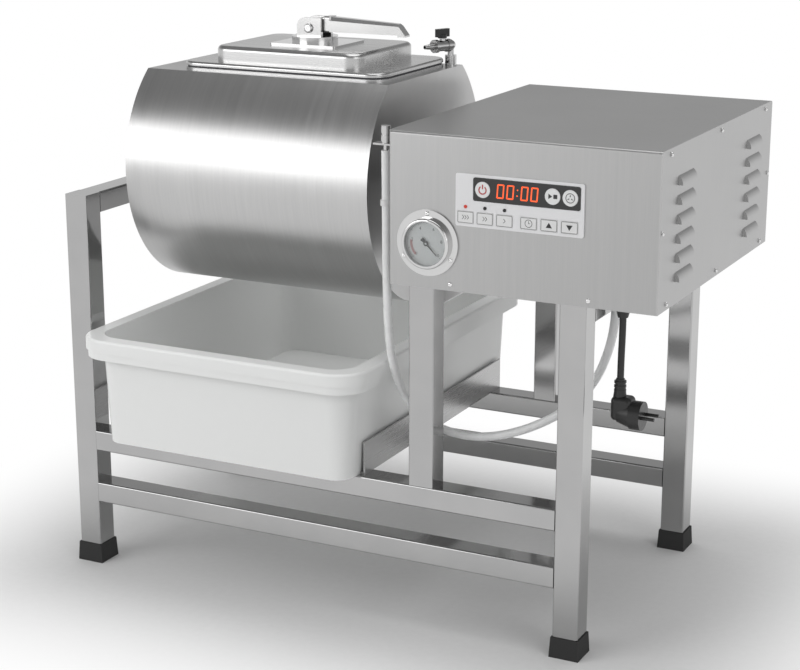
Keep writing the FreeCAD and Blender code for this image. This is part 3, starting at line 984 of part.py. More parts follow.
def main():
    """Builds every node."""
    os.makedirs("parts", exist_ok=True)
    make_frame()
    make_left_bearing()
    make_drum()
    make_lid()
    make_lever()
    make_valve()
    make_drive()
    make_box_contents()
    make_box()
    make_panel()
    make_gauge()
    make_tub()
    make_hose()
    make_cord()


main()
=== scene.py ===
"""Looks of a meat vacuum tumbler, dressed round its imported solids.

Metres, +Z up, +X along the drum towards the control box, -Y to the front.
"""

import json
import logging
import math
from dataclasses import dataclass, field
from enum import Enum
from typing import Sequence

import bmesh
import bpy
from mathutils import Matrix, Vector

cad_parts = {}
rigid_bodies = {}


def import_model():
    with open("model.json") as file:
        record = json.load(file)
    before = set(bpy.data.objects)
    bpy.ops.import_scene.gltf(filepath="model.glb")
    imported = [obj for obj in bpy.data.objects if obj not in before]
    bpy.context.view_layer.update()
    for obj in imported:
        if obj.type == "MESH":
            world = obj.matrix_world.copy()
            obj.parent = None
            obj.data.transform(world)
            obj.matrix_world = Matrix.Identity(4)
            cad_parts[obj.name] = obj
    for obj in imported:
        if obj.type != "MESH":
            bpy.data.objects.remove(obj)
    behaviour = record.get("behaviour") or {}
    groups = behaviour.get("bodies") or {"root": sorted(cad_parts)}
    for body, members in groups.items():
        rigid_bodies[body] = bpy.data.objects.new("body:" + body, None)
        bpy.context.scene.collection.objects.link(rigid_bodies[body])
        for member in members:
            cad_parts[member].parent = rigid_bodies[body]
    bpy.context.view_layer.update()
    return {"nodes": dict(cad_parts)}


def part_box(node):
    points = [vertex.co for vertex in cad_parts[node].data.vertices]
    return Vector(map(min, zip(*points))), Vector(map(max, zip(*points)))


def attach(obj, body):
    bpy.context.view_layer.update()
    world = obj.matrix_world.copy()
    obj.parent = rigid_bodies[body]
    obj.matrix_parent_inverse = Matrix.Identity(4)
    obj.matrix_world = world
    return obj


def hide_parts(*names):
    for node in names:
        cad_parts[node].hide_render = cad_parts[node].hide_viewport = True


for leftover in list(bpy.data.objects):
    bpy.data.objects.remove(leftover)
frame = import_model()
NODES = frame["nodes"]
LOG = logging.getLogger("tumbler")
ROOT = "frame_and_box"
Point = tuple[float, float]
Colour = tuple[float, float, float]


# ---- Finishes ----------------------------------------------------------------------------------
class Tree:
    """The node tree of one finish, laid out node by node."""

    def __init__(self, name: str) -> None:
        """Starts a material that holds one principled shader.

        Args:
            name: the material's name.
        """
        self.material = bpy.data.materials.new(name)
        self.material.use_nodes = True
        self.tree = self.material.node_tree
        self.tree.nodes.clear()
        self.output = self.tree.nodes.new("ShaderNodeOutputMaterial")
        self.shader = self.add("ShaderNodeBsdfPrincipled")
        self.join(self.shader.outputs[0], self.output.inputs[0])
        self.coordinates = self.add("ShaderNodeTexCoord").outputs["Object"]

    def join(self, source: bpy.types.NodeSocket, target: bpy.types.NodeSocket) -> None:
        """Links two sockets."""
        self.tree.links.new(source, target)

    def add(self, kind: str, inputs: dict | None = None, **settings: object) -> bpy.types.Node:
        """Adds a node.

        Args:
            kind: the node's type.
            inputs: what each input gets, by name or number: a constant or another node's socket.
            **settings: the node's own settings.

        Returns:
            The new node.
        """
        node = self.tree.nodes.new(kind)
        for key, value in settings.items():
            setattr(node, key, value)
        for key, value in (inputs or {}).items():
            if isinstance(value, bpy.types.NodeSocket):
                self.join(value, node.inputs[key])
            else:
                node.inputs[key].default_value = value
        return node

    def stretch(self, scale: Sequence[float]) -> bpy.types.NodeSocket:
        """Object coordinates scaled along each axis."""
        mapping = self.add("ShaderNodeMapping", {"Vector": self.coordinates, "Scale": tuple(scale)})
        return mapping.outputs[0]

    def noise(self, scale: Sequence[float], detail: float = 2.0, rough: float = 0.5) -> bpy.types.NodeSocket:
        """Noise over object coordinates.

        Args:
            scale: how often it changes per metre along each axis.
            detail: octaves.
            rough: how strong the finer octaves are.

        Returns:
            The noise value's socket.
        """
        values = {"Vector": self.stretch(scale), "Scale": 1.0, "Detail": detail, "Roughness": rough}
        return self.add("ShaderNodeTexNoise", values).outputs[0]

    def spread(self, value: bpy.types.NodeSocket, low: float, high: float,
               start: float = 0.3, end: float = 0.7) -> bpy.types.NodeSocket:
        """Maps a value between start and end to one between low and high."""
        values = {0: value, 1: start, 2: end, 3: low, 4: high}
        return self.add("ShaderNodeMapRange", values).outputs[0]

    def blend(self, value: bpy.types.NodeSocket, first: Colour, second: Colour,
              start: float = 0.3, end: float = 0.7) -> bpy.types.NodeSocket:
        """A colour that goes from first to second as a value goes from start to end."""
        ramp = self.add("ShaderNodeValToRGB", {0: value})
        stops = ramp.color_ramp.elements
        stops[0].position, stops[1].position = start, end
        stops[0].color, stops[1].color = (*first, 1.0), (*second, 1.0)
        return ramp.outputs[0]

    def math(self, operation: str, *values: object) -> bpy.types.NodeSocket:
        """One arithmetic step on values or sockets."""
        return self.add("ShaderNodeMath", dict(enumerate(values)), operation=operation).outputs[0]

    def relief(self, *layers: tuple[bpy.types.NodeSocket, float, float]) -> None:
        """Bumps the surface.

        Args:
            *layers: height socket, strength and depth in metres of each layer.
        """
        normal = None
        for height, strength, depth in layers:
            bump = self.add("ShaderNodeBump", {"Height": height, "Strength": strength, "Distance": depth})
            if normal is not None:
                self.join(normal, bump.inputs["Normal"])
            normal = bump.outputs[0]
        self.join(normal, self.shader.inputs["Normal"])

    def set(self, **values: object) -> bpy.types.Material:
        """Sets the shader's inputs; a name's underscores stand for spaces."""
        for key, value in values.items():
            socket = self.shader.inputs[key.replace("_", " ")]
            if isinstance(value, bpy.types.NodeSocket):
                self.join(value, socket)
            else:
                socket.default_value = value
        return self.material


def grey(tone: float, warm: float = 0.0) -> Colour:
    """A grey, a little warmer for positive warm."""
    return (tone * (1 + warm), tone, tone * (1 - warm))


class Grain(Enum):
    """Which way a sheet was brushed: how quickly the lines change along each axis."""

    UPRIGHT = (1.0, 1.0, 0.010)
    LENGTHWISE = (0.010, 1.0, 1.0)
    ROUND = (1.0, 0.015, 0.015)
    DEEP = (1.0, 0.010, 1.0)


@dataclass(frozen=True)
class BrushedSteel:
    """Stainless sheet with fine grinding lines."""

    name: str
    grain: Grain
    tone: float = 0.62
    contrast: float = 0.05
    roughness: float = 0.30
    lines: float = 1300.0
    depth: float = 0.10

    def make(self) -> bpy.types.Material:
        """The material."""
        tree = Tree(self.name)
        fine = tree.noise([self.lines * share for share in self.grain.value], 3.0, 0.6)
        coarse = tree.noise([self.lines * 0.16 * share for share in self.grain.value], 2.0)
        cloud = tree.noise((6.0, 6.0, 6.0), 2.0)
        mixed = tree.math("ADD", tree.math("MULTIPLY", fine, 0.6), tree.math("MULTIPLY", coarse, 0.4))
        tree.relief((fine, self.depth, 0.00004), (cloud, 0.02, 0.002))
        return tree.set(
            Base_Color=tree.blend(mixed, grey(self.tone - self.contrast), grey(self.tone + self.contrast, 0.004)),
            Metallic=1.0,
            Roughness=tree.math("ADD", tree.spread(coarse, self.roughness - 0.02, self.roughness + 0.02),
                                tree.spread(cloud, -0.015, 0.015)))


@dataclass(frozen=True)
class PolishedSteel:
    """Stainless steel polished almost to a mirror, with wipe marks."""

    name: str
    tone: float = 0.70
    roughness: float = 0.10
    smears: float = 0.02
    waviness: float = 0.03

    def make(self) -> bpy.types.Material:
        """The material."""
        tree = Tree(self.name)
        wave = tree.noise((9.0, 9.0, 9.0), 1.0)
        smear = tree.noise((14.0, 14.0, 14.0), 2.0, 0.5)
        grit = tree.noise((900.0, 900.0, 900.0), 2.0)
        tree.relief((wave, self.waviness, 0.01), (grit, 0.02, 0.0001))
        return tree.set(
            Base_Color=tree.blend(smear, grey(self.tone - 0.015), grey(self.tone + 0.015, 0.004)),
            Metallic=1.0,
            Roughness=tree.spread(smear, self.roughness - self.smears * 0.5, self.roughness + self.smears))


@dataclass(frozen=True)
class CastMetal:
    """Painted or bare cast metal, or a machined or turned metal, with a fine grain."""

    name: str
    colour: Colour
    metallic: float = 0.0
    roughness: float = 0.45
    grain: float = 260.0
    relief: float = 0.35
    wear: float = 0.04

    def make(self) -> bpy.types.Material:
        """The material."""
        tree = Tree(self.name)
        skin = tree.noise((self.grain,) * 3, 4.0, 0.6)
        cloud = tree.noise((24.0,) * 3, 3.0)
        dark = tuple(max(0.0, channel * (1 - 3 * self.wear)) for channel in self.colour)
        light = tuple(min(1.0, channel * (1 + 2 * self.wear)) for channel in self.colour)
        tree.relief((skin, self.relief, 0.0004))
        return tree.set(Base_Color=tree.blend(cloud, dark, light), Metallic=self.metallic,
                        Roughness=tree.spread(skin, self.roughness - 0.07, self.roughness + 0.07))


@dataclass(frozen=True)
class MouldedPlastic:
    """Moulded plastic or rubber with a faint orange-peel skin."""

    name: str
    colour: Colour
    roughness: float = 0.40
    peel: float = 320.0
    relief: float = 0.12
    mottle: float = 0.03
    glow: float = 0.0

    def make(self) -> bpy.types.Material:
        """The material."""
        tree = Tree(self.name)
        skin = tree.noise((self.peel,) * 3, 3.0)
        cloud = tree.noise((11.0,) * 3, 3.0, 0.6)
        low = tuple(channel * (1 - self.mottle) for channel in self.colour)
        high = tuple(min(1.0, channel * (1 + self.mottle)) for channel in self.colour)
        tree.relief((skin, self.relief, 0.0003), (cloud, 0.04, 0.004))
        return tree.set(Base_Color=tree.blend(cloud, low, high), IOR=1.48,
                        Subsurface_Weight=self.glow, Subsurface_Radius=(0.004, 0.004, 0.004),
                        Roughness=tree.spread(skin, self.roughness - 0.05, self.roughness + 0.05))


@dataclass(frozen=True)
class PrintedFilm:
    """Membrane film: a satin skin over one printed colour."""

    name: str
    colour: Colour
    roughness: float = 0.35
    coat: float = 0.0

    def make(self) -> bpy.types.Material:
        """The material."""
        tree = Tree(self.name)
        satin = tree.noise((1500.0,) * 3, 2.0)
        cloud = tree.noise((40.0,) * 3, 2.0)
        low = tuple(channel * 0.985 for channel in self.colour)
        tree.relief((satin, 0.05, 0.0001))
        return tree.set(Base_Color=tree.blend(cloud, low, self.colour), Coat_Weight=self.coat, Coat_Roughness=0.06,
                        Roughness=tree.spread(satin, self.roughness - 0.04, self.roughness + 0.04))


@dataclass(frozen=True)
class Glow:
    """A lit segment or lamp behind a smoked window."""

    name: str
    colour: Colour
    strength: float = 1.0
    edge: float = 0.7

    def make(self) -> bpy.types.Material:
        """The material."""
        tree = Tree(self.name)
        cloud = tree.noise((700.0,) * 3, 1.0)
        dim = tuple(channel * self.edge for channel in self.colour)
        lit = tree.blend(cloud, dim, self.colour)
        return tree.set(Base_Color=dim + (1.0,), Roughness=0.35, Emission_Color=lit,
                        Emission_Strength=self.strength)


@dataclass(frozen=True)
class ClearGlass:
    """Flat gauge glass: see-through, with a soft sheen."""

    name: str

    def make(self) -> bpy.types.Material:
        """The material."""
        tree = Tree(self.name)
        film = tree.noise((55.0,) * 3, 2.0)
        tree.set(Base_Color=(1.0, 1.0, 1.0, 1.0), Roughness=tree.spread(film, 0.03, 0.08), IOR=1.45)
        clear = tree.add("ShaderNodeBsdfTransparent", {"Color": (0.97, 0.98, 0.98, 1.0)})
        rim = tree.add("ShaderNodeFresnel", {"IOR": 1.45})
        share = tree.math("ADD", rim.outputs[0], 0.04)
        mix = tree.add("ShaderNodeMixShader", {0: share, 1: clear.outputs[0], 2: tree.shader.outputs[0]})
        tree.join(mix.outputs[0], tree.output.inputs[0])
        return tree.material


@dataclass(frozen=True)
class LampLenses:
    """Three lamp lenses in one moulding, the one at the left lit red."""

    name: str
    lit_until: float

    def make(self) -> bpy.types.Material:
        """The material."""
        tree = Tree(self.name)
        parts = tree.add("ShaderNodeSeparateXYZ", {0: tree.coordinates})
        dark = tree.math("GREATER_THAN", parts.outputs["X"], self.lit_until)
        colour = tree.blend(dark, (0.42, 0.03, 0.02), (0.008, 0.008, 0.009), 0.4, 0.6)
        glow = tree.blend(dark, (0.35, 0.03, 0.01), (0.0, 0.0, 0.0), 0.4, 0.6)
        return tree.set(Base_Color=colour, Emission_Color=glow, Emission_Strength=0.5, Roughness=0.22)


@dataclass(frozen=True)
class MilkyHose:
    """Milky flexible tube with a faint random mottle."""

    name: str
    colour: Colour = (0.93, 0.94, 0.94)

    def make(self) -> bpy.types.Material:
        """The material."""
        tree = Tree(self.name)
        cloud = tree.noise((14.0, 14.0, 14.0), 1.0)
        peel = tree.noise((60.0,) * 3, 1.0)
        dim = tuple(channel * 0.97 for channel in self.colour)
        tree.relief((peel, 0.03, 0.0003))
        return tree.set(Base_Color=tree.blend(cloud, dim, self.colour), IOR=1.42,
                        Subsurface_Weight=0.6, Subsurface_Radius=(0.006, 0.006, 0.006),
                        Roughness=tree.spread(peel, 0.22, 0.32))


class Finish(Enum):
    """Every finish on the machine."""

    TUBE = PolishedSteel("tube_polish", 0.43, 0.11)
    BOX = BrushedSteel("box_brushing", Grain.UPRIGHT, 0.41, 0.02, 0.40)
    COVER = BrushedSteel("cover_brushing", Grain.UPRIGHT, 0.44, 0.02, 0.38)
    DRUM = BrushedSteel("drum_brushing", Grain.ROUND, 0.50, 0.03, 0.32)
    HATCH = BrushedSteel("hatch_brushing", Grain.LENGTHWISE, 0.50, 0.02, 0.28)
    LID = BrushedSteel("lid_brushing", Grain.LENGTHWISE, 0.50, 0.02, 0.26)
    LEVER = PolishedSteel("lever_polish", 0.55, 0.16)
    STRIP = BrushedSteel("strip_brushing", Grain.DEEP, 0.44, 0.02, 0.28)
    VALVE = PolishedSteel("valve_plating", 0.55, 0.14)
    BEZEL = PolishedSteel("bezel_polish", 0.62, 0.10)
    MACHINED = CastMetal("turned_steel", grey(0.58), 1.0, 0.28, 500.0, 0.15)
    SCREW = PolishedSteel("screw_plating", 0.72, 0.16)
    IRON = CastMetal("bearing_casting", (0.30, 0.32, 0.33), 0.35, 0.46, 340.0, 0.5)
    PAINT = CastMetal("motor_enamel", (0.16, 0.18, 0.20), 0.0, 0.38, 300.0, 0.3)
    BRONZE = CastMetal("wheel_bronze", (0.62, 0.42, 0.20), 1.0, 0.32, 400.0, 0.15)
    PUMP = CastMetal("pump_casting", grey(0.50), 0.8, 0.42, 300.0, 0.4)
    BOARD = PrintedFilm("board_resist", (0.03, 0.16, 0.07), 0.4)
    FOOT = MouldedPlastic("foot_rubber", grey(0.018), 0.52, 420.0, 0.25)
    GASKET = MouldedPlastic("gasket_rubber", grey(0.022), 0.60, 380.0, 0.2)
    BLACK = MouldedPlastic("black_nylon", grey(0.016), 0.34, 300.0, 0.15)
    JACKET = MouldedPlastic("cord_rubber", grey(0.017), 0.42, 260.0, 0.12)
    CLIP = MouldedPlastic("clip_nylon", grey(0.78), 0.36)
    TUB = MouldedPlastic("tub_plastic", (0.90, 0.90, 0.90), 0.36, 180.0, 0.06, 0.008, 0.35)
    HOSE = MilkyHose("hose_vinyl")
    PANEL = PrintedFilm("panel_film", grey(0.97), 0.30, 0.15)
    WINDOW = PrintedFilm("smoked_window", grey(0.006), 0.14, 0.4)
    WHITE_KEY = PrintedFilm("white_key_film", grey(0.88), 0.34)
    GREY_KEY = PrintedFilm("pale_key_film", grey(0.84), 0.34)
    INK = PrintedFilm("dark_ink", grey(0.02), 0.45)
    LINE_INK = PrintedFilm("line_ink", grey(0.07), 0.45)
    RED_INK = PrintedFilm("red_ink", (0.42, 0.02, 0.02), 0.45)
    ZONE_INK = PrintedFilm("zone_ink", (0.62, 0.33, 0.33), 0.5)
    DIAL = PrintedFilm("dial_enamel", grey(0.93), 0.42)
    DIAL_INK = PrintedFilm("dial_ink", grey(0.10), 0.5)
    NEEDLE = PrintedFilm("needle_enamel", grey(0.015), 0.4)
    SEGMENT = Glow("lit_segments", (1.0, 0.12, 0.03), 1.0)
    LAMPS = LampLenses("lamp_lenses", 0.205)
    GLASS = ClearGlass("gauge_glass")

    def material(self) -> bpy.types.Material:
        """The finish's material, made once."""
        return bpy.data.materials.get(self.value.name) or self.value.make()


def dress(node: str, finish: Finish, bevel: float = 0.0) -> None:
    """Gives a solid its finish.

    Args:
        node: the solid's name.
        finish: what it is finished with.
        bevel: width of the softened edges in metres, 0 for none.
    """
    solid = NODES[node]
    for slot in solid.material_slots:
        slot.material = finish.material()
    if bevel:
        soften(solid, bevel)


def soften(piece: bpy.types.Object, width: float, segments: int = 2) -> None:
    """Rounds a piece's sharp edges."""
    bevel = piece.modifiers.new("soft_edges", "BEVEL")
    bevel.width, bevel.segments = width, segments
    bevel.limit_method, bevel.angle_limit = "ANGLE", math.radians(50)
    bevel.harden_normals = True


# ---- Making pieces -----------------------------------------------------------------------------
def finish_piece(piece: bpy.types.Object, finish: Finish, body: str) -> bpy.types.Object:
    """Gives a new piece its finish and body.

    Args:
        piece: the new piece, in place.
        finish: its finish.
        body: the body that it moves with.

    Returns:
        The same piece.
    """
    piece.data.materials.clear()
    piece.data.materials.append(finish.material())
    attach(piece, body)
    LOG.info("made %s on %s", piece.name, body)
    return piece


def to_piece(name: str, mesh: bmesh.types.BMesh) -> bpy.types.Object:
    """Turns a finished bmesh into an object in the scene."""
    data = bpy.data.meshes.new(name)
    bmesh.ops.recalc_face_normals(mesh, faces=mesh.faces)
    mesh.to_mesh(data)
    mesh.free()
    piece = bpy.data.objects.new(name, data)
    bpy.context.scene.collection.objects.link(piece)
    return piece


@dataclass
class Stencil:
    """Flat shapes drawn in X and Z, seen from the front, and raised into thin print."""

    polygons: list[list[Point]] = field(default_factory=list)
    bands: list[tuple[list[Point], list[Point], bool]] = field(default_factory=list)

    def polygon(self, *points: Point) -> "Stencil":
        """Adds a filled outline."""
        self.polygons.append(list(points))
        return self

    def bar(self, start: Point, end: Point, width: float) -> "Stencil":
        """Adds a straight stroke."""
        run = Vector(end) - Vector(start)
        side = Vector((-run.y, run.x)).normalized() * width / 2
        a, b = Vector(start), Vector(end)
        return self.polygon(tuple(a + side), tuple(b + side), tuple(b - side), tuple(a - side))

    def disc(self, centre: Point, radius: float, steps: int = 20) -> "Stencil":
        """Adds a filled circle."""
        turns = [2 * math.pi * k / steps for k in range(steps)]
        return self.polygon(*[(centre[0] + radius * math.cos(t), centre[1] + radius * math.sin(t)) for t in turns])

    def arc(self, centre: Point, radius: float, width: float, start: float, end: float, steps: int = 28) -> "Stencil":
        """Adds an arc's stroke between two angles in degrees; a full turn closes."""
        closed = abs(end - start) >= 360
        count = steps if closed else steps + 1
        turns = [math.radians(start + (end - start) * k / steps) for k in range(count)]
        loops = [[(centre[0] + r * math.cos(t), centre[1] + r * math.sin(t)) for t in turns]
                 for r in (radius + width / 2, radius - width / 2)]
        self.bands.append((loops[0], loops[1], closed))
        return self

    def frame(self, centre: Point, size: Point, corner: float, width: float) -> "Stencil":
        """Adds the outline of a rectangle with rounded corners."""
        self.bands.append((rounded(centre, size, corner), rounded(
            centre, (size[0] - 2 * width, size[1] - 2 * width), max(corner - width, 0.0002)), True))
        return self

    def raise_at(self, name: str, front: float, thickness: float) -> bpy.types.Object:
        """Builds the print.

        Args:
            name: the piece's name.
            front: Y of the face that it is printed on.
            thickness: how far it stands proud of that face.

        Returns:
            The new piece.
        """
        mesh = bmesh.new()
        for points in self.polygons:
            mesh.faces.new([mesh.verts.new((x, front, z)) for x, z in points])
        for outer, inner, closed in self.bands:
            rows = [[mesh.verts.new((x, front, z)) for x, z in loop] for loop in (outer, inner)]
            count = len(outer)
            for k in range(count if closed else count - 1):
                n = (k + 1) % count
                mesh.faces.new((rows[0][k], rows[0][n], rows[1][n], rows[1][k]))
        raised = bmesh.ops.extrude_face_region(mesh, geom=list(mesh.faces))
        moved = [item for item in raised["geom"] if isinstance(item, bmesh.types.BMVert)]
        bmesh.ops.translate(mesh, verts=moved, vec=(0.0, -thickness, 0.0))
        return to_piece(name, mesh)


def rounded(centre: Point, size: Point, corner: float, steps: int = 5) -> list[Point]:
    """The outline of a rectangle with rounded corners, counter-clockwise."""
    points = []
    for quarter, (sx, sz) in enumerate(((1, 1), (-1, 1), (-1, -1), (1, -1))):
        cx, cz = centre[0] + sx * (size[0] / 2 - corner), centre[1] + sz * (size[1] / 2 - corner)
        for k in range(steps + 1):
            turn = math.pi / 2 * (quarter + k / steps)
            points.append((cx + corner * math.cos(turn), cz + corner * math.sin(turn)))
    return points


def tube_curve(name: str, route: Sequence[Sequence[float]], radius: float) -> bpy.types.Object:
    """A round tube along one smooth spline.

    Args:
        name: the piece's name.
        route: control points of the centre line.
        radius: the tube's radius.

    Returns:
        The new curve.
    """
    curve = bpy.data.curves.new(name, "CURVE")
    curve.dimensions = "3D"
    curve.bevel_depth, curve.bevel_resolution, curve.use_fill_caps = radius, 5, True
    curve.resolution_u = 14
    spline = curve.splines.new("NURBS")
    spline.points.add(len(route) - 1)
    for point, place in zip(spline.points, route):
        point.co = (*place, 1.0)
    spline.order_u = 3
    spline.use_endpoint_u = True
    piece = bpy.data.objects.new(name, curve)
    bpy.context.scene.collection.objects.link(piece)
    return piece


# ---- Camera, light and floor -------------------------------------------------------------------
@dataclass
class Studio:
    """Camera, soft lights, pale floor and white surround."""

    place: tuple[float, float, float] = (1.2429, -2.5333, 1.1521)
    turn: float = 26.72
    pitch: float = 15.57
    lens: float = 85.46
    floor_radius: float = 9.0
    box_turn: float = 33.0
    box_height: float = 14.0
    box_distance: float = 2.6
    ambient: float = 0.42
    aim_height: float = 0.4
    key_power: float = 17.0
    top_power: float = 32.0
    side_power: float = 12.0
    room_levels: tuple[Point, ...] = ((0.0, 0.60), (0.49, 0.95), (0.56, 0.85), (0.66, 0.42), (0.80, 0.22), (1.0, 0.30))
    # Painted shade: the floor stays grey inside this patch and fades to white over the fade length round it.
    patch_middle: Point = (0.0, 0.0)
    patch_half: Point = (0.44, 0.26)
    fade_length: float = 0.42

    def camera(self) -> None:
        """Places the camera."""
        data = bpy.data.cameras.new("view")
        data.lens, data.sensor_width, data.clip_end = self.lens, 36.0, 60.0
        camera = bpy.data.objects.new("view", data)
        bpy.context.scene.collection.objects.link(camera)
        camera.location = self.place
        camera.rotation_euler = (math.radians(90 - self.pitch), 0.0, math.radians(self.turn))
        bpy.context.scene.camera = camera
        bpy.context.scene.view_settings.view_transform = "Standard"

    def panel_light(self, name: str, place: Sequence[float], aim: Sequence[float], size: Point,
                    power: float) -> None:
        """Adds one soft box.

        Args:
            name: its name.
            place: its centre.
            aim: where it points.
            size: width and height.
            power: watts.
        """
        data = bpy.data.lights.new(name, "AREA")
        data.shape, data.size, data.size_y, data.energy = "RECTANGLE", size[0], size[1], power
        light = bpy.data.objects.new(name, data)
        bpy.context.scene.collection.objects.link(light)
        light.location = place
        light.rotation_euler = (Vector(aim) - Vector(place)).to_track_quat("-Z", "Y").to_euler()

    def lights(self) -> None:
        """A broad soft box at the front left, one overhead and one at the right."""
        turn, rise = math.radians(self.box_turn), math.radians(self.box_height)
        reach = self.box_distance
        place = (-reach * math.sin(turn) * math.cos(rise) - 0.1, -reach * math.cos(turn) * math.cos(rise),
                 0.6 + reach * math.sin(rise))
        self.panel_light("key_softbox", place, (0.0, 0.0, 0.55), (1.7, 1.2), self.key_power)
        aim = (0.0, 0.0, self.aim_height)
        self.panel_light("top_softbox", (0.2, 0.1, 3.2), aim, (2.6, 2.2), self.top_power)
        self.panel_light("side_softbox", (2.8, -1.6, 1.7), aim, (1.6, 1.6), self.side_power)

    def world(self) -> None:
        """White surround for the eye, a graded room for the light."""
        world = bpy.data.worlds.new("room")
        bpy.context.scene.world = world
        world.use_nodes = True
        nodes, links = world.node_tree.nodes, world.node_tree.links
        nodes.clear()
        output = nodes.new("ShaderNodeOutputWorld")
        direction = nodes.new("ShaderNodeTexCoord")
        parts = nodes.new("ShaderNodeSeparateXYZ")
        links.new(direction.outputs["Generated"], parts.inputs[0])
        height = nodes.new("ShaderNodeMapRange")
        for index, value in enumerate((-1.0, 1.0, 0.0, 1.0)):
            height.inputs[index + 1].default_value = value
        links.new(parts.outputs["Z"], height.inputs[0])
        ramp = nodes.new("ShaderNodeValToRGB")
        links.new(height.outputs[0], ramp.inputs[0])
        stops = ramp.color_ramp.elements
        while len(stops) < len(self.room_levels):
            stops.new(0.5)
        for stop, (position, tone) in zip(stops, self.room_levels):
            stop.position, stop.color = position, (tone, tone, tone, 1.0)
        room, white = nodes.new("ShaderNodeBackground"), nodes.new("ShaderNodeBackground")
        links.new(ramp.outputs[0], room.inputs[0])
        white.inputs[0].default_value = (1.0, 1.0, 1.0, 1.0)
        path, mix = nodes.new("ShaderNodeLightPath"), nodes.new("ShaderNodeMixShader")
        seen = nodes.new("ShaderNodeMath")
        seen.operation = "MAXIMUM"
        links.new(path.outputs["Is Camera Ray"], seen.inputs[0])
        links.new(path.outputs["Is Transmission Ray"], seen.inputs[1])
        links.new(seen.outputs[0], mix.inputs[0])
        links.new(room.outputs[0], mix.inputs[1])
        links.new(white.outputs[0], mix.inputs[2])
        dim, matt = nodes.new("ShaderNodeBackground"), nodes.new("ShaderNodeMixShader")
        dim.inputs[0].default_value = (self.ambient, self.ambient, self.ambient, 1.0)
        links.new(path.outputs["Is Diffuse Ray"], matt.inputs[0])
        links.new(mix.outputs[0], matt.inputs[1])
        links.new(dim.outputs[0], matt.inputs[2])
        links.new(matt.outputs[0], output.inputs[0])

    def floor(self) -> None:
        """A pale floor: grey near the machine, fading to white with distance as painted shade round it; real shadows
        fall on its diffuse part.
        """
        mesh = bmesh.new()
        bmesh.ops.create_circle(mesh, cap_ends=True, radius=self.floor_radius, segments=96)
        floor = to_piece("floor", mesh)
        tree = Tree("floor_painted_shade")
        parts = tree.add("ShaderNodeSeparateXYZ", {0: tree.coordinates})
        past = []
        for axis, middle, half in (("X", self.patch_middle[0], self.patch_half[0]),
                                   ("Y", self.patch_middle[1], self.patch_half[1])):
            reach = tree.math("ABSOLUTE", tree.math("ADD", parts.outputs[axis], -middle))
            past.append(tree.math("MAXIMUM", tree.math("ADD", reach, -half), 0.0))
        away = tree.math("SQRT", tree.math("ADD", tree.math("MULTIPLY", past[0], past[0]),
                                           tree.math("MULTIPLY", past[1], past[1])))
        grit = tree.noise((90.0, 90.0, 90.0), 2.0)
        tree.set(Base_Color=tree.blend(grit, grey(0.79), grey(0.81)), Roughness=0.85,
                 Specular_IOR_Level=0.1)
        # Painted shade: grey diffuse floor near the machine, blended into white emission with distance from the patch.
        fade = tree.add("ShaderNodeMapRange", {0: away, 1: 0.0, 2: self.fade_length}, interpolation_type="SMOOTHSTEP")
        path = tree.add("ShaderNodeLightPath")
        seen = tree.math("MAXIMUM", path.outputs["Is Camera Ray"],
                         tree.math("MAXIMUM", path.outputs["Is Glossy Ray"], path.outputs["Is Transmission Ray"]))
        white = tree.add("ShaderNodeEmission", {"Color": (1.0, 1.0, 1.0, 1.0), "Strength": 1.0})
        share = tree.math("MULTIPLY", fade.outputs[0], seen)
        mix = tree.add("ShaderNodeMixShader", {0: share, 1: tree.shader.outputs[0], 2: white.outputs[0]})
        tree.join(mix.outputs[0], tree.output.inputs[0])
        floor.data.materials.append(tree.material)

    def build(self) -> None:
        """Sets up everything round the machine."""
        self.lights()
        self.world()
        self.floor()


# ---- Hose and cord -----------------------------------------------------------------------------
HOSE_ROUTE = (
    (0.062625, -0.232, 0.6955), (0.062625, -0.231, 0.604), (0.061625, -0.228, 0.508), (0.061625, -0.223, 0.426),
    (0.065625, -0.212, 0.371), (0.079625, -0.196, 0.323), (0.111625, -0.186, 0.292), (0.155625, -0.180, 0.280),
    (0.199625, -0.176, 0.283), (0.243625, -0.173, 0.297), (0.284625, -0.169, 0.318), (0.324625, -0.166, 0.347),
    (0.355625, -0.164, 0.388), (0.372625, -0.163, 0.434), (0.379625, -0.163, 0.476), (0.379625, -0.163, 0.500))
CORD_ROUTE = ((0.404625, -0.203, 0.492), (0.404625, -0.203, 0.466), (0.403625, -0.2026, 0.435),
              (0.403625, -0.2026, 0.406))


@dataclass
class Lines:
    """The vacuum hose and the mains cord with its plug."""

    hose_radius: float = 0.0062
    hose_length: float = 0.8198
    cord_radius: float = 0.00475
    cord_length: float = 0.086

    def build(self) -> None:
        """Makes both lines and dresses what carries them."""
        hose = tube_curve("milky_hose", HOSE_ROUTE, self.hose_radius)
        finish_piece(hose, Finish.HOSE, ROOT)
        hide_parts("vacuum_hose")
        cord = tube_curve("mains_cord", CORD_ROUTE, self.cord_radius)
        finish_piece(cord, Finish.JACKET, ROOT)
        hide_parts("power_cord")
        dress("cord_gland", Finish.BLACK)
        dress("power_plug", Finish.BLACK)
        dress("hose_coupler", Finish.VALVE)
        dress("hose_holder", Finish.STRIP, 0.0004)
        dress("hose_clip", Finish.CLIP)
        dress("hose_fitting", Finish.MACHINED)


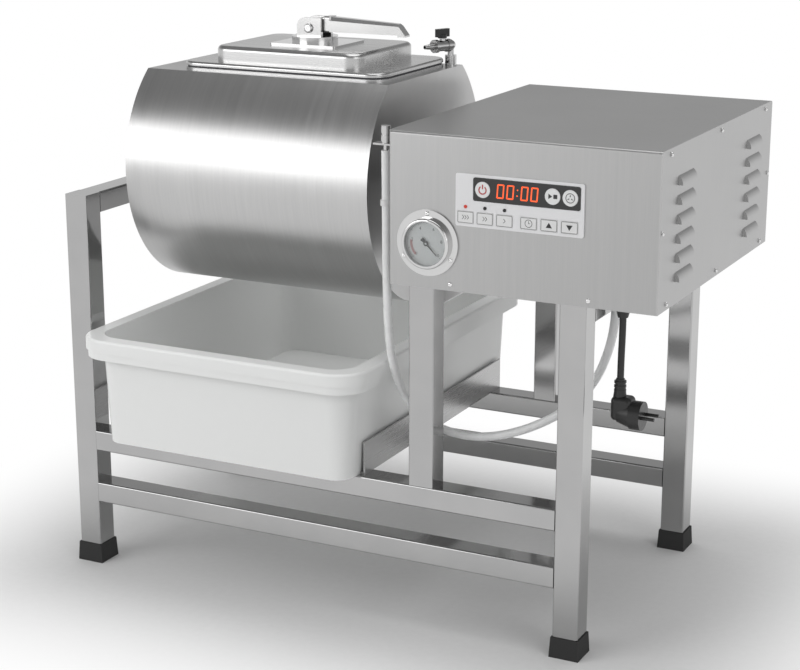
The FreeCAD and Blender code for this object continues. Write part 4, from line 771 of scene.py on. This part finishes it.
# ---- Frame and bearing -------------------------------------------------------------------------
@dataclass
class Stand:
    """Square-tube frame with its feet, guides and the left bearing."""

    edge: float = 0.0006

    def build(self) -> None:
        """Dresses the frame."""
        for node in ("left_posts", "mid_posts", "right_posts", "upper_rails", "lower_rails", "bearing_rail",
                     "box_support_rails"):
            dress(node, Finish.TUBE)
        dress("tub_guides", Finish.STRIP, self.edge)
        dress("rubber_feet", Finish.FOOT, 0.0015)
        dress("bearing_housing", Finish.IRON, self.edge)
        dress("bearing_bolts", Finish.MACHINED, 0.0004)
        dress("bearing_ring", Finish.MACHINED, 0.0004)
        dress("stub_shaft", Finish.MACHINED, 0.0004)


# ---- Drum and lid ------------------------------------------------------------------------------
@dataclass
class Drum:
    """Rolled drum with its hatch, lid, cam lever and valve."""

    edge: float = 0.0008

    def build(self) -> None:
        """Dresses the drum and everything that turns with it."""
        dress("drum_shell", Finish.DRUM)
        dress("drum_ends", Finish.DRUM, self.edge)
        dress("drum_baffles", Finish.DRUM)
        dress("hatch_frame", Finish.HATCH, self.edge)
        dress("drum_lid", Finish.LID)
        dress("lid_gasket", Finish.GASKET)
        dress("lever_bracket", Finish.LEVER, 0.0004)
        dress("lever_bolt", Finish.MACHINED)
        dress("cam_lever", Finish.LEVER, 0.0004)
        dress("vacuum_valve", Finish.VALVE)
        dress("valve_handle", Finish.BLACK, 0.0006)
        dress("drive_hub", Finish.MACHINED)
        dress("worm_wheel", Finish.BRONZE)


# ---- Tub ---------------------------------------------------------------------------------------
@dataclass
class Tub:
    """White plastic tub with a double rim."""

    def build(self) -> None:
        """Dresses the tub."""
        dress("tub", Finish.TUB)


# ---- Control box -------------------------------------------------------------------------------
@dataclass
class ControlBox:
    """Housing with its louvred side, screws and works."""

    screw_radius: float = 0.0035
    screw_height: float = 0.0019
    recess_arm: float = 0.0019
    recess_width: float = 0.00045
    recess_depth: float = 0.0010
    grid: int = 16

    def build(self) -> None:
        """Dresses the box and cuts the crosses in its screws."""
        dress("box_housing", Finish.BOX, 0.0005)
        dress("louvred_side_cover", Finish.COVER)
        dress("box_base_plate", Finish.STRIP)
        dress("motor_housing", Finish.PAINT)
        dress("gearbox_housing", Finish.PAINT)
        dress("motor_shaft", Finish.MACHINED)
        dress("vacuum_pump", Finish.PUMP)
        dress("control_board", Finish.BOARD)
        self.screws()

    def seats(self) -> list[tuple[Vector, Vector]]:
        """Where each screw's head sits and which way it faces, from the solid's separate screws.

        Returns:
            Centre of the face under the head, and the outward direction.
        """
        mesh = bmesh.new()
        mesh.from_mesh(NODES["housing_screws"].data)
        bmesh.ops.remove_doubles(mesh, verts=mesh.verts, dist=1e-6)
        left, seats = set(mesh.verts), []
        while left:
            group, front = set(), [next(iter(left))]
            while front:
                vert = front.pop()
                if vert in group:
                    continue
                group.add(vert)
                front.extend(edge.other_vert(vert) for edge in vert.link_edges)
            left -= group
            low = Vector([min(v.co[k] for v in group) for k in range(3)])
            high = Vector([max(v.co[k] for v in group) for k in range(3)])
            middle = (low + high) / 2
            if high.x - low.x < high.y - low.y or abs(high.z - low.z - (high.x - low.x)) < 5e-4:
                seats.append((Vector((middle.x, low.y, middle.z)), Vector((0.0, -1.0, 0.0))))
            else:
                seats.append((Vector((high.x, middle.y, middle.z)), Vector((1.0, 0.0, 0.0))))
        mesh.free()
        return sorted(seats, key=lambda seat: tuple(round(value, 4) for value in seat[0]))

    def head(self, mesh: bmesh.types.BMesh, top: Vector, out: Vector, spin: float) -> None:
        """Adds one domed head with a cross recess.

        Args:
            mesh: the mesh that takes it.
            top: the crown of the head.
            out: which way it faces.
            spin: how far the cross is turned, in radians.
        """
        side = Vector((0.0, 0.0, 1.0)).cross(out).normalized()
        up = out.cross(side)
        seat = top - out * self.screw_height
        count, rows = self.grid, []
        for i in range(count + 1):
            row = []
            for j in range(count + 1):
                a, b = 2 * i / count - 1, 2 * j / count - 1
                x, y = a * math.sqrt(1 - b * b / 2), b * math.sqrt(1 - a * a / 2)
                reach = min(1.0, math.hypot(x, y))
                lift = self.screw_height * math.sqrt(max(0.0, 1 - reach ** 3))
                p, q = x * self.screw_radius, y * self.screw_radius
                p, q = p * math.cos(spin) - q * math.sin(spin), p * math.sin(spin) + q * math.cos(spin)
                near = min(abs(x * self.screw_radius), abs(y * self.screw_radius))
                far = max(abs(x * self.screw_radius), abs(y * self.screw_radius))
                cut = max(0.0, 1 - (near / self.recess_width) ** 2) * max(0.0, 1 - (far / self.recess_arm) ** 4)
                row.append(mesh.verts.new(seat + side * p + up * q + out * (lift - cut * self.recess_depth)))
            rows.append(row)
        for i in range(count):
            for j in range(count):
                mesh.faces.new((rows[i][j], rows[i + 1][j], rows[i + 1][j + 1], rows[i][j + 1]))

    def screws(self) -> None:
        """Makes every cross-head screw."""
        mesh = bmesh.new()
        for number, (top, out) in enumerate(self.seats()):
            self.head(mesh, top, out, 0.4 + 1.7 * number)
        piece = to_piece("cross_head_screws", mesh)
        for face in piece.data.polygons:
            face.use_smooth = True
        finish_piece(piece, Finish.SCREW, ROOT)
        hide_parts("housing_screws")


# ---- Membrane panel ----------------------------------------------------------------------------
@dataclass
class Panel:
    """Membrane panel: window, digits, keys and their symbols."""

    print_height: float = 0.00012
    digit: Point = (0.0105, 0.0195)
    digit_pitch: float = 0.0142
    digit_stroke: float = 0.0019
    digit_places: tuple[float, ...] = (-1.72, -0.72, 0.72, 1.72)
    colon_heights: Point = (0.30, 0.70)
    slant: float = 0.07
    round_key_radius: float = 0.0108
    chevron_step: float = 0.0036
    chevron_reach: float = 0.0026
    chevron_rise: float = 0.0028
    stroke: float = 0.0007
    key_line: float = 0.0006
    key_inset: float = 0.0005
    key_corner: float = 0.0015

    def front(self, node: str) -> float:
        """Y of a node's front face."""
        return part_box(node)[0].y

    def middle(self, node: str) -> Point:
        """A node's middle as X and Z."""
        low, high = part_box(node)
        return ((low.x + high.x) / 2, (low.z + high.z) / 2)

    def build(self) -> None:
        """Dresses the panel and prints its symbols."""
        dress("membrane_panel", Finish.PANEL)
        dress("display_window", Finish.WINDOW)
        dress("status_lamps", Finish.LAMPS)
        for key in ("power_key", "start_stop_key", "vacuum_key"):
            dress(key, Finish.WHITE_KEY)
        for key in ("fast_key", "medium_key", "slow_key", "timer_key", "up_key", "down_key"):
            dress(key, Finish.GREY_KEY)
        self.digits()
        self.round_keys()
        self.square_keys()

    def segment(self, stencil: Stencil, origin: Point, place: tuple[float, float], upright: bool) -> None:
        """Adds one bar of a seven-segment digit.

        Args:
            stencil: takes the bar.
            origin: the digit's lower left corner.
            place: the bar's middle within the digit.
            upright: True for an upright bar.
        """
        width, height = self.digit
        stroke = self.digit_stroke
        half = (height / 2 - stroke * 0.62) / 2 if upright else (width - stroke * 1.25) / 2
        tip = half + stroke / 2 - 0.0003
        edge = stroke / 2
        flat = [(-tip, 0), (-half, edge), (half, edge), (tip, 0), (half, -edge), (-half, -edge)]
        points = [(z, x) if upright else (x, z) for x, z in flat]
        stencil.polygon(*[(origin[0] + place[0] + x + self.slant * (place[1] + z), origin[1] + place[1] + z)
                          for x, z in points])

    def digits(self) -> None:
        """The red 00:00 of the time display."""
        left = self.middle("power_key")[0] + self.round_key_radius
        right = self.middle("start_stop_key")[0] - self.round_key_radius
        width, height = self.digit
        middle = (left + right) / 2 - self.slant * height / 2
        base = self.middle("power_key")[1] - height / 2
        starts = [middle + shift * self.digit_pitch - width / 2 for shift in self.digit_places]
        stencil = Stencil()
        inset = self.digit_stroke / 2
        for start in starts:
            for z in (inset, height - inset):
                self.segment(stencil, (start, base), (width / 2, z), False)
            for x in (inset, width - inset):
                for z in (height * 0.27, height * 0.73):
                    self.segment(stencil, (start, base), (x, z), True)
        for share in self.colon_heights:
            stencil.disc((middle + self.slant * height * share, base + height * share), self.digit_stroke * 0.55, 12)
        piece = stencil.raise_at("time_digits", self.front("display_window"), self.print_height)
        finish_piece(piece, Finish.SEGMENT, ROOT)

    def print_key(self, key: str, stencil: Stencil, finish: Finish) -> None:
        """Prints a symbol on a key so that it moves with it."""
        piece = stencil.raise_at(key + "_symbol", self.front(key), self.print_height)
        finish_piece(piece, finish, key)

    def round_keys(self) -> None:
        """Power, start and stop, and vacuum symbols."""
        x, z = self.middle("power_key")
        power = Stencil().arc((x, z - 0.0004), 0.0052, 0.0017, 125, 415).bar((x, z + 0.001), (x, z + 0.0072), 0.0016)
        self.print_key("power_key", power, Finish.RED_INK)
        x, z = self.middle("start_stop_key")
        start = Stencil().polygon((x - 0.0058, z + 0.0036), (x - 0.0058, z - 0.0036), (x - 0.0004, z))
        start.polygon(*rounded((x + 0.0040, z), (0.0054, 0.0056), 0.0004))
        self.print_key("start_stop_key", start, Finish.INK)
        x, z = self.middle("vacuum_key")
        vacuum = Stencil().arc((x, z), 0.0062, 0.0009, 0, 360)
        for turn in (90, 210, 330):
            c, s = math.cos(math.radians(turn)), math.sin(math.radians(turn))
            tip, tail = (x + 0.0012 * c, z + 0.0012 * s), (x + 0.0046 * c, z + 0.0046 * s)
            neck = (tail[0] * 0.45 + tip[0] * 0.55, tail[1] * 0.45 + tip[1] * 0.55)
            vacuum.bar(tail, (x + 0.0026 * c, z + 0.0026 * s), 0.0008)
            vacuum.polygon(tip, (neck[0] - 0.0011 * s, neck[1] + 0.0011 * c),
                           (neck[0] + 0.0011 * s, neck[1] - 0.0011 * c))
        self.print_key("vacuum_key", vacuum, Finish.INK)

    def square_keys(self) -> None:
        """Outlines with speed chevrons, a clock, and up and down."""
        for key, count in (("fast_key", 3), ("medium_key", 2), ("slow_key", 1)):
            x, z = self.middle(key)
            stencil = self.outline(key)
            for number in range(count):
                start = x + (number - (count - 1) / 2) * self.chevron_step - 0.0012
                for way in (1, -1):
                    ends = (start, z + way * self.chevron_rise), (start + self.chevron_reach, z + way * 0.00015)
                    stencil.bar(*ends[::way], self.stroke)
            self.print_key(key, stencil, Finish.LINE_INK)
        x, z = self.middle("timer_key")
        clock = self.outline("timer_key").arc((x, z), 0.0050, self.stroke, 0, 360)
        clock.bar((x, z - 0.0003), (x, z + 0.0033), 0.0006).bar((x - 0.0003, z), (x + 0.0024, z), 0.0006)
        self.print_key("timer_key", clock, Finish.LINE_INK)
        for key, way in (("up_key", 1), ("down_key", -1)):
            x, z = self.middle(key)
            arrow = self.outline(key).polygon((x - 0.0045, z - way * 0.0032), (x + 0.0045, z - way * 0.0032),
                                              (x, z + way * 0.0040))
            self.print_key(key, arrow, Finish.INK)

    def outline(self, key: str) -> Stencil:
        """A thin dark outline just inside a key's edge."""
        low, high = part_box(key)
        size = (high.x - low.x - 2 * self.key_inset, high.z - low.z - 2 * self.key_inset)
        return Stencil().frame(self.middle(key), size, self.key_corner, self.key_line)


# ---- Vacuum gauge ------------------------------------------------------------------------------
@dataclass
class Gauge:
    """Flanged dial gauge."""

    face: float = -0.2605
    sweep_start: float = 225.0
    sweep: float = 270.0
    steps: int = 10
    minor: int = 5
    tick_end: float = 0.0298
    tick_start: float = 0.0278
    long_tick_start: float = 0.0268
    number_radius: float = 0.0222
    zone_radius: float = 0.0235
    zone_sweep: float = 52.0
    print_height: float = 0.00015
    text_size: float = 0.0062

    def build(self) -> None:
        """Dresses the gauge and prints its dial."""
        dress("gauge_case", Finish.BEZEL)
        dress("gauge_dial", Finish.DIAL)
        dress("gauge_needle", Finish.NEEDLE)
        dress("gauge_glass", Finish.GLASS)
        low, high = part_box("gauge_dial")
        self.centre = ((low.x + high.x) / 2, (low.z + high.z) / 2)
        self.scale()
        self.zone()
        self.numbers()

    def at(self, radius: float, share: float) -> Point:
        """A point on the dial at a share of the sweep, clockwise."""
        turn = math.radians(self.sweep_start - self.sweep * share)
        return (self.centre[0] + radius * math.cos(turn), self.centre[1] + radius * math.sin(turn))

    def scale(self) -> None:
        """Ticks and the arc that joins them."""
        stencil = Stencil()
        total = self.steps * self.minor
        for k in range(total + 1):
            long = k % self.minor == 0
            start = self.long_tick_start if long else self.tick_start
            stencil.bar(self.at(start, k / total), self.at(self.tick_end, k / total), 0.00055 if long else 0.00028)
        stencil.arc(self.centre, 0.0299, 0.00035, self.sweep_start - self.sweep, self.sweep_start, 60)
        piece = stencil.raise_at("dial_scale", self.face, self.print_height)
        finish_piece(piece, Finish.DIAL_INK, ROOT)

    def zone(self) -> None:
        """The coloured zone at the low end."""
        low = self.sweep_start - self.zone_sweep
        stencil = Stencil().arc(self.centre, self.zone_radius, 0.0034, low, self.sweep_start, 16)
        piece = stencil.raise_at("dial_zone", self.face, self.print_height)
        finish_piece(piece, Finish.ZONE_INK, ROOT)

    def numbers(self) -> None:
        """Numbers round the dial."""
        mesh = bmesh.new()
        for k in range(0, self.steps + 1, 2):
            text = bpy.data.curves.new("number", "FONT")
            text.body, text.size, text.extrude = str(k), self.text_size, self.print_height
            text.align_x, text.align_y, text.resolution_u = "CENTER", "CENTER", 3
            holder = bpy.data.objects.new("number", text)
            bpy.context.scene.collection.objects.link(holder)
            data = bpy.data.meshes.new_from_object(holder.evaluated_get(bpy.context.evaluated_depsgraph_get()))
            x, z = self.at(self.number_radius, k / self.steps)
            data.transform(Matrix.Translation((x, self.face, z)) @ Matrix.Rotation(math.pi / 2, 4, "X"))
            mesh.from_mesh(data)
            bpy.data.objects.remove(holder)
            bpy.data.meshes.remove(data)
        finish_piece(to_piece("dial_numbers", mesh), Finish.DIAL_INK, ROOT)


def main() -> None:
    """Builds every sub-assembly in order."""
    logging.basicConfig(level=logging.INFO, format="%(name)s: %(message)s")
    studio = Studio()
    studio.camera()
    for part in (Lines(), Stand(), Drum(), Tub(), ControlBox(), Panel(), Gauge()):
        part.build()
        LOG.info("%s done", type(part).__name__)
    studio.build()


if __name__ == "__main__":
    main()
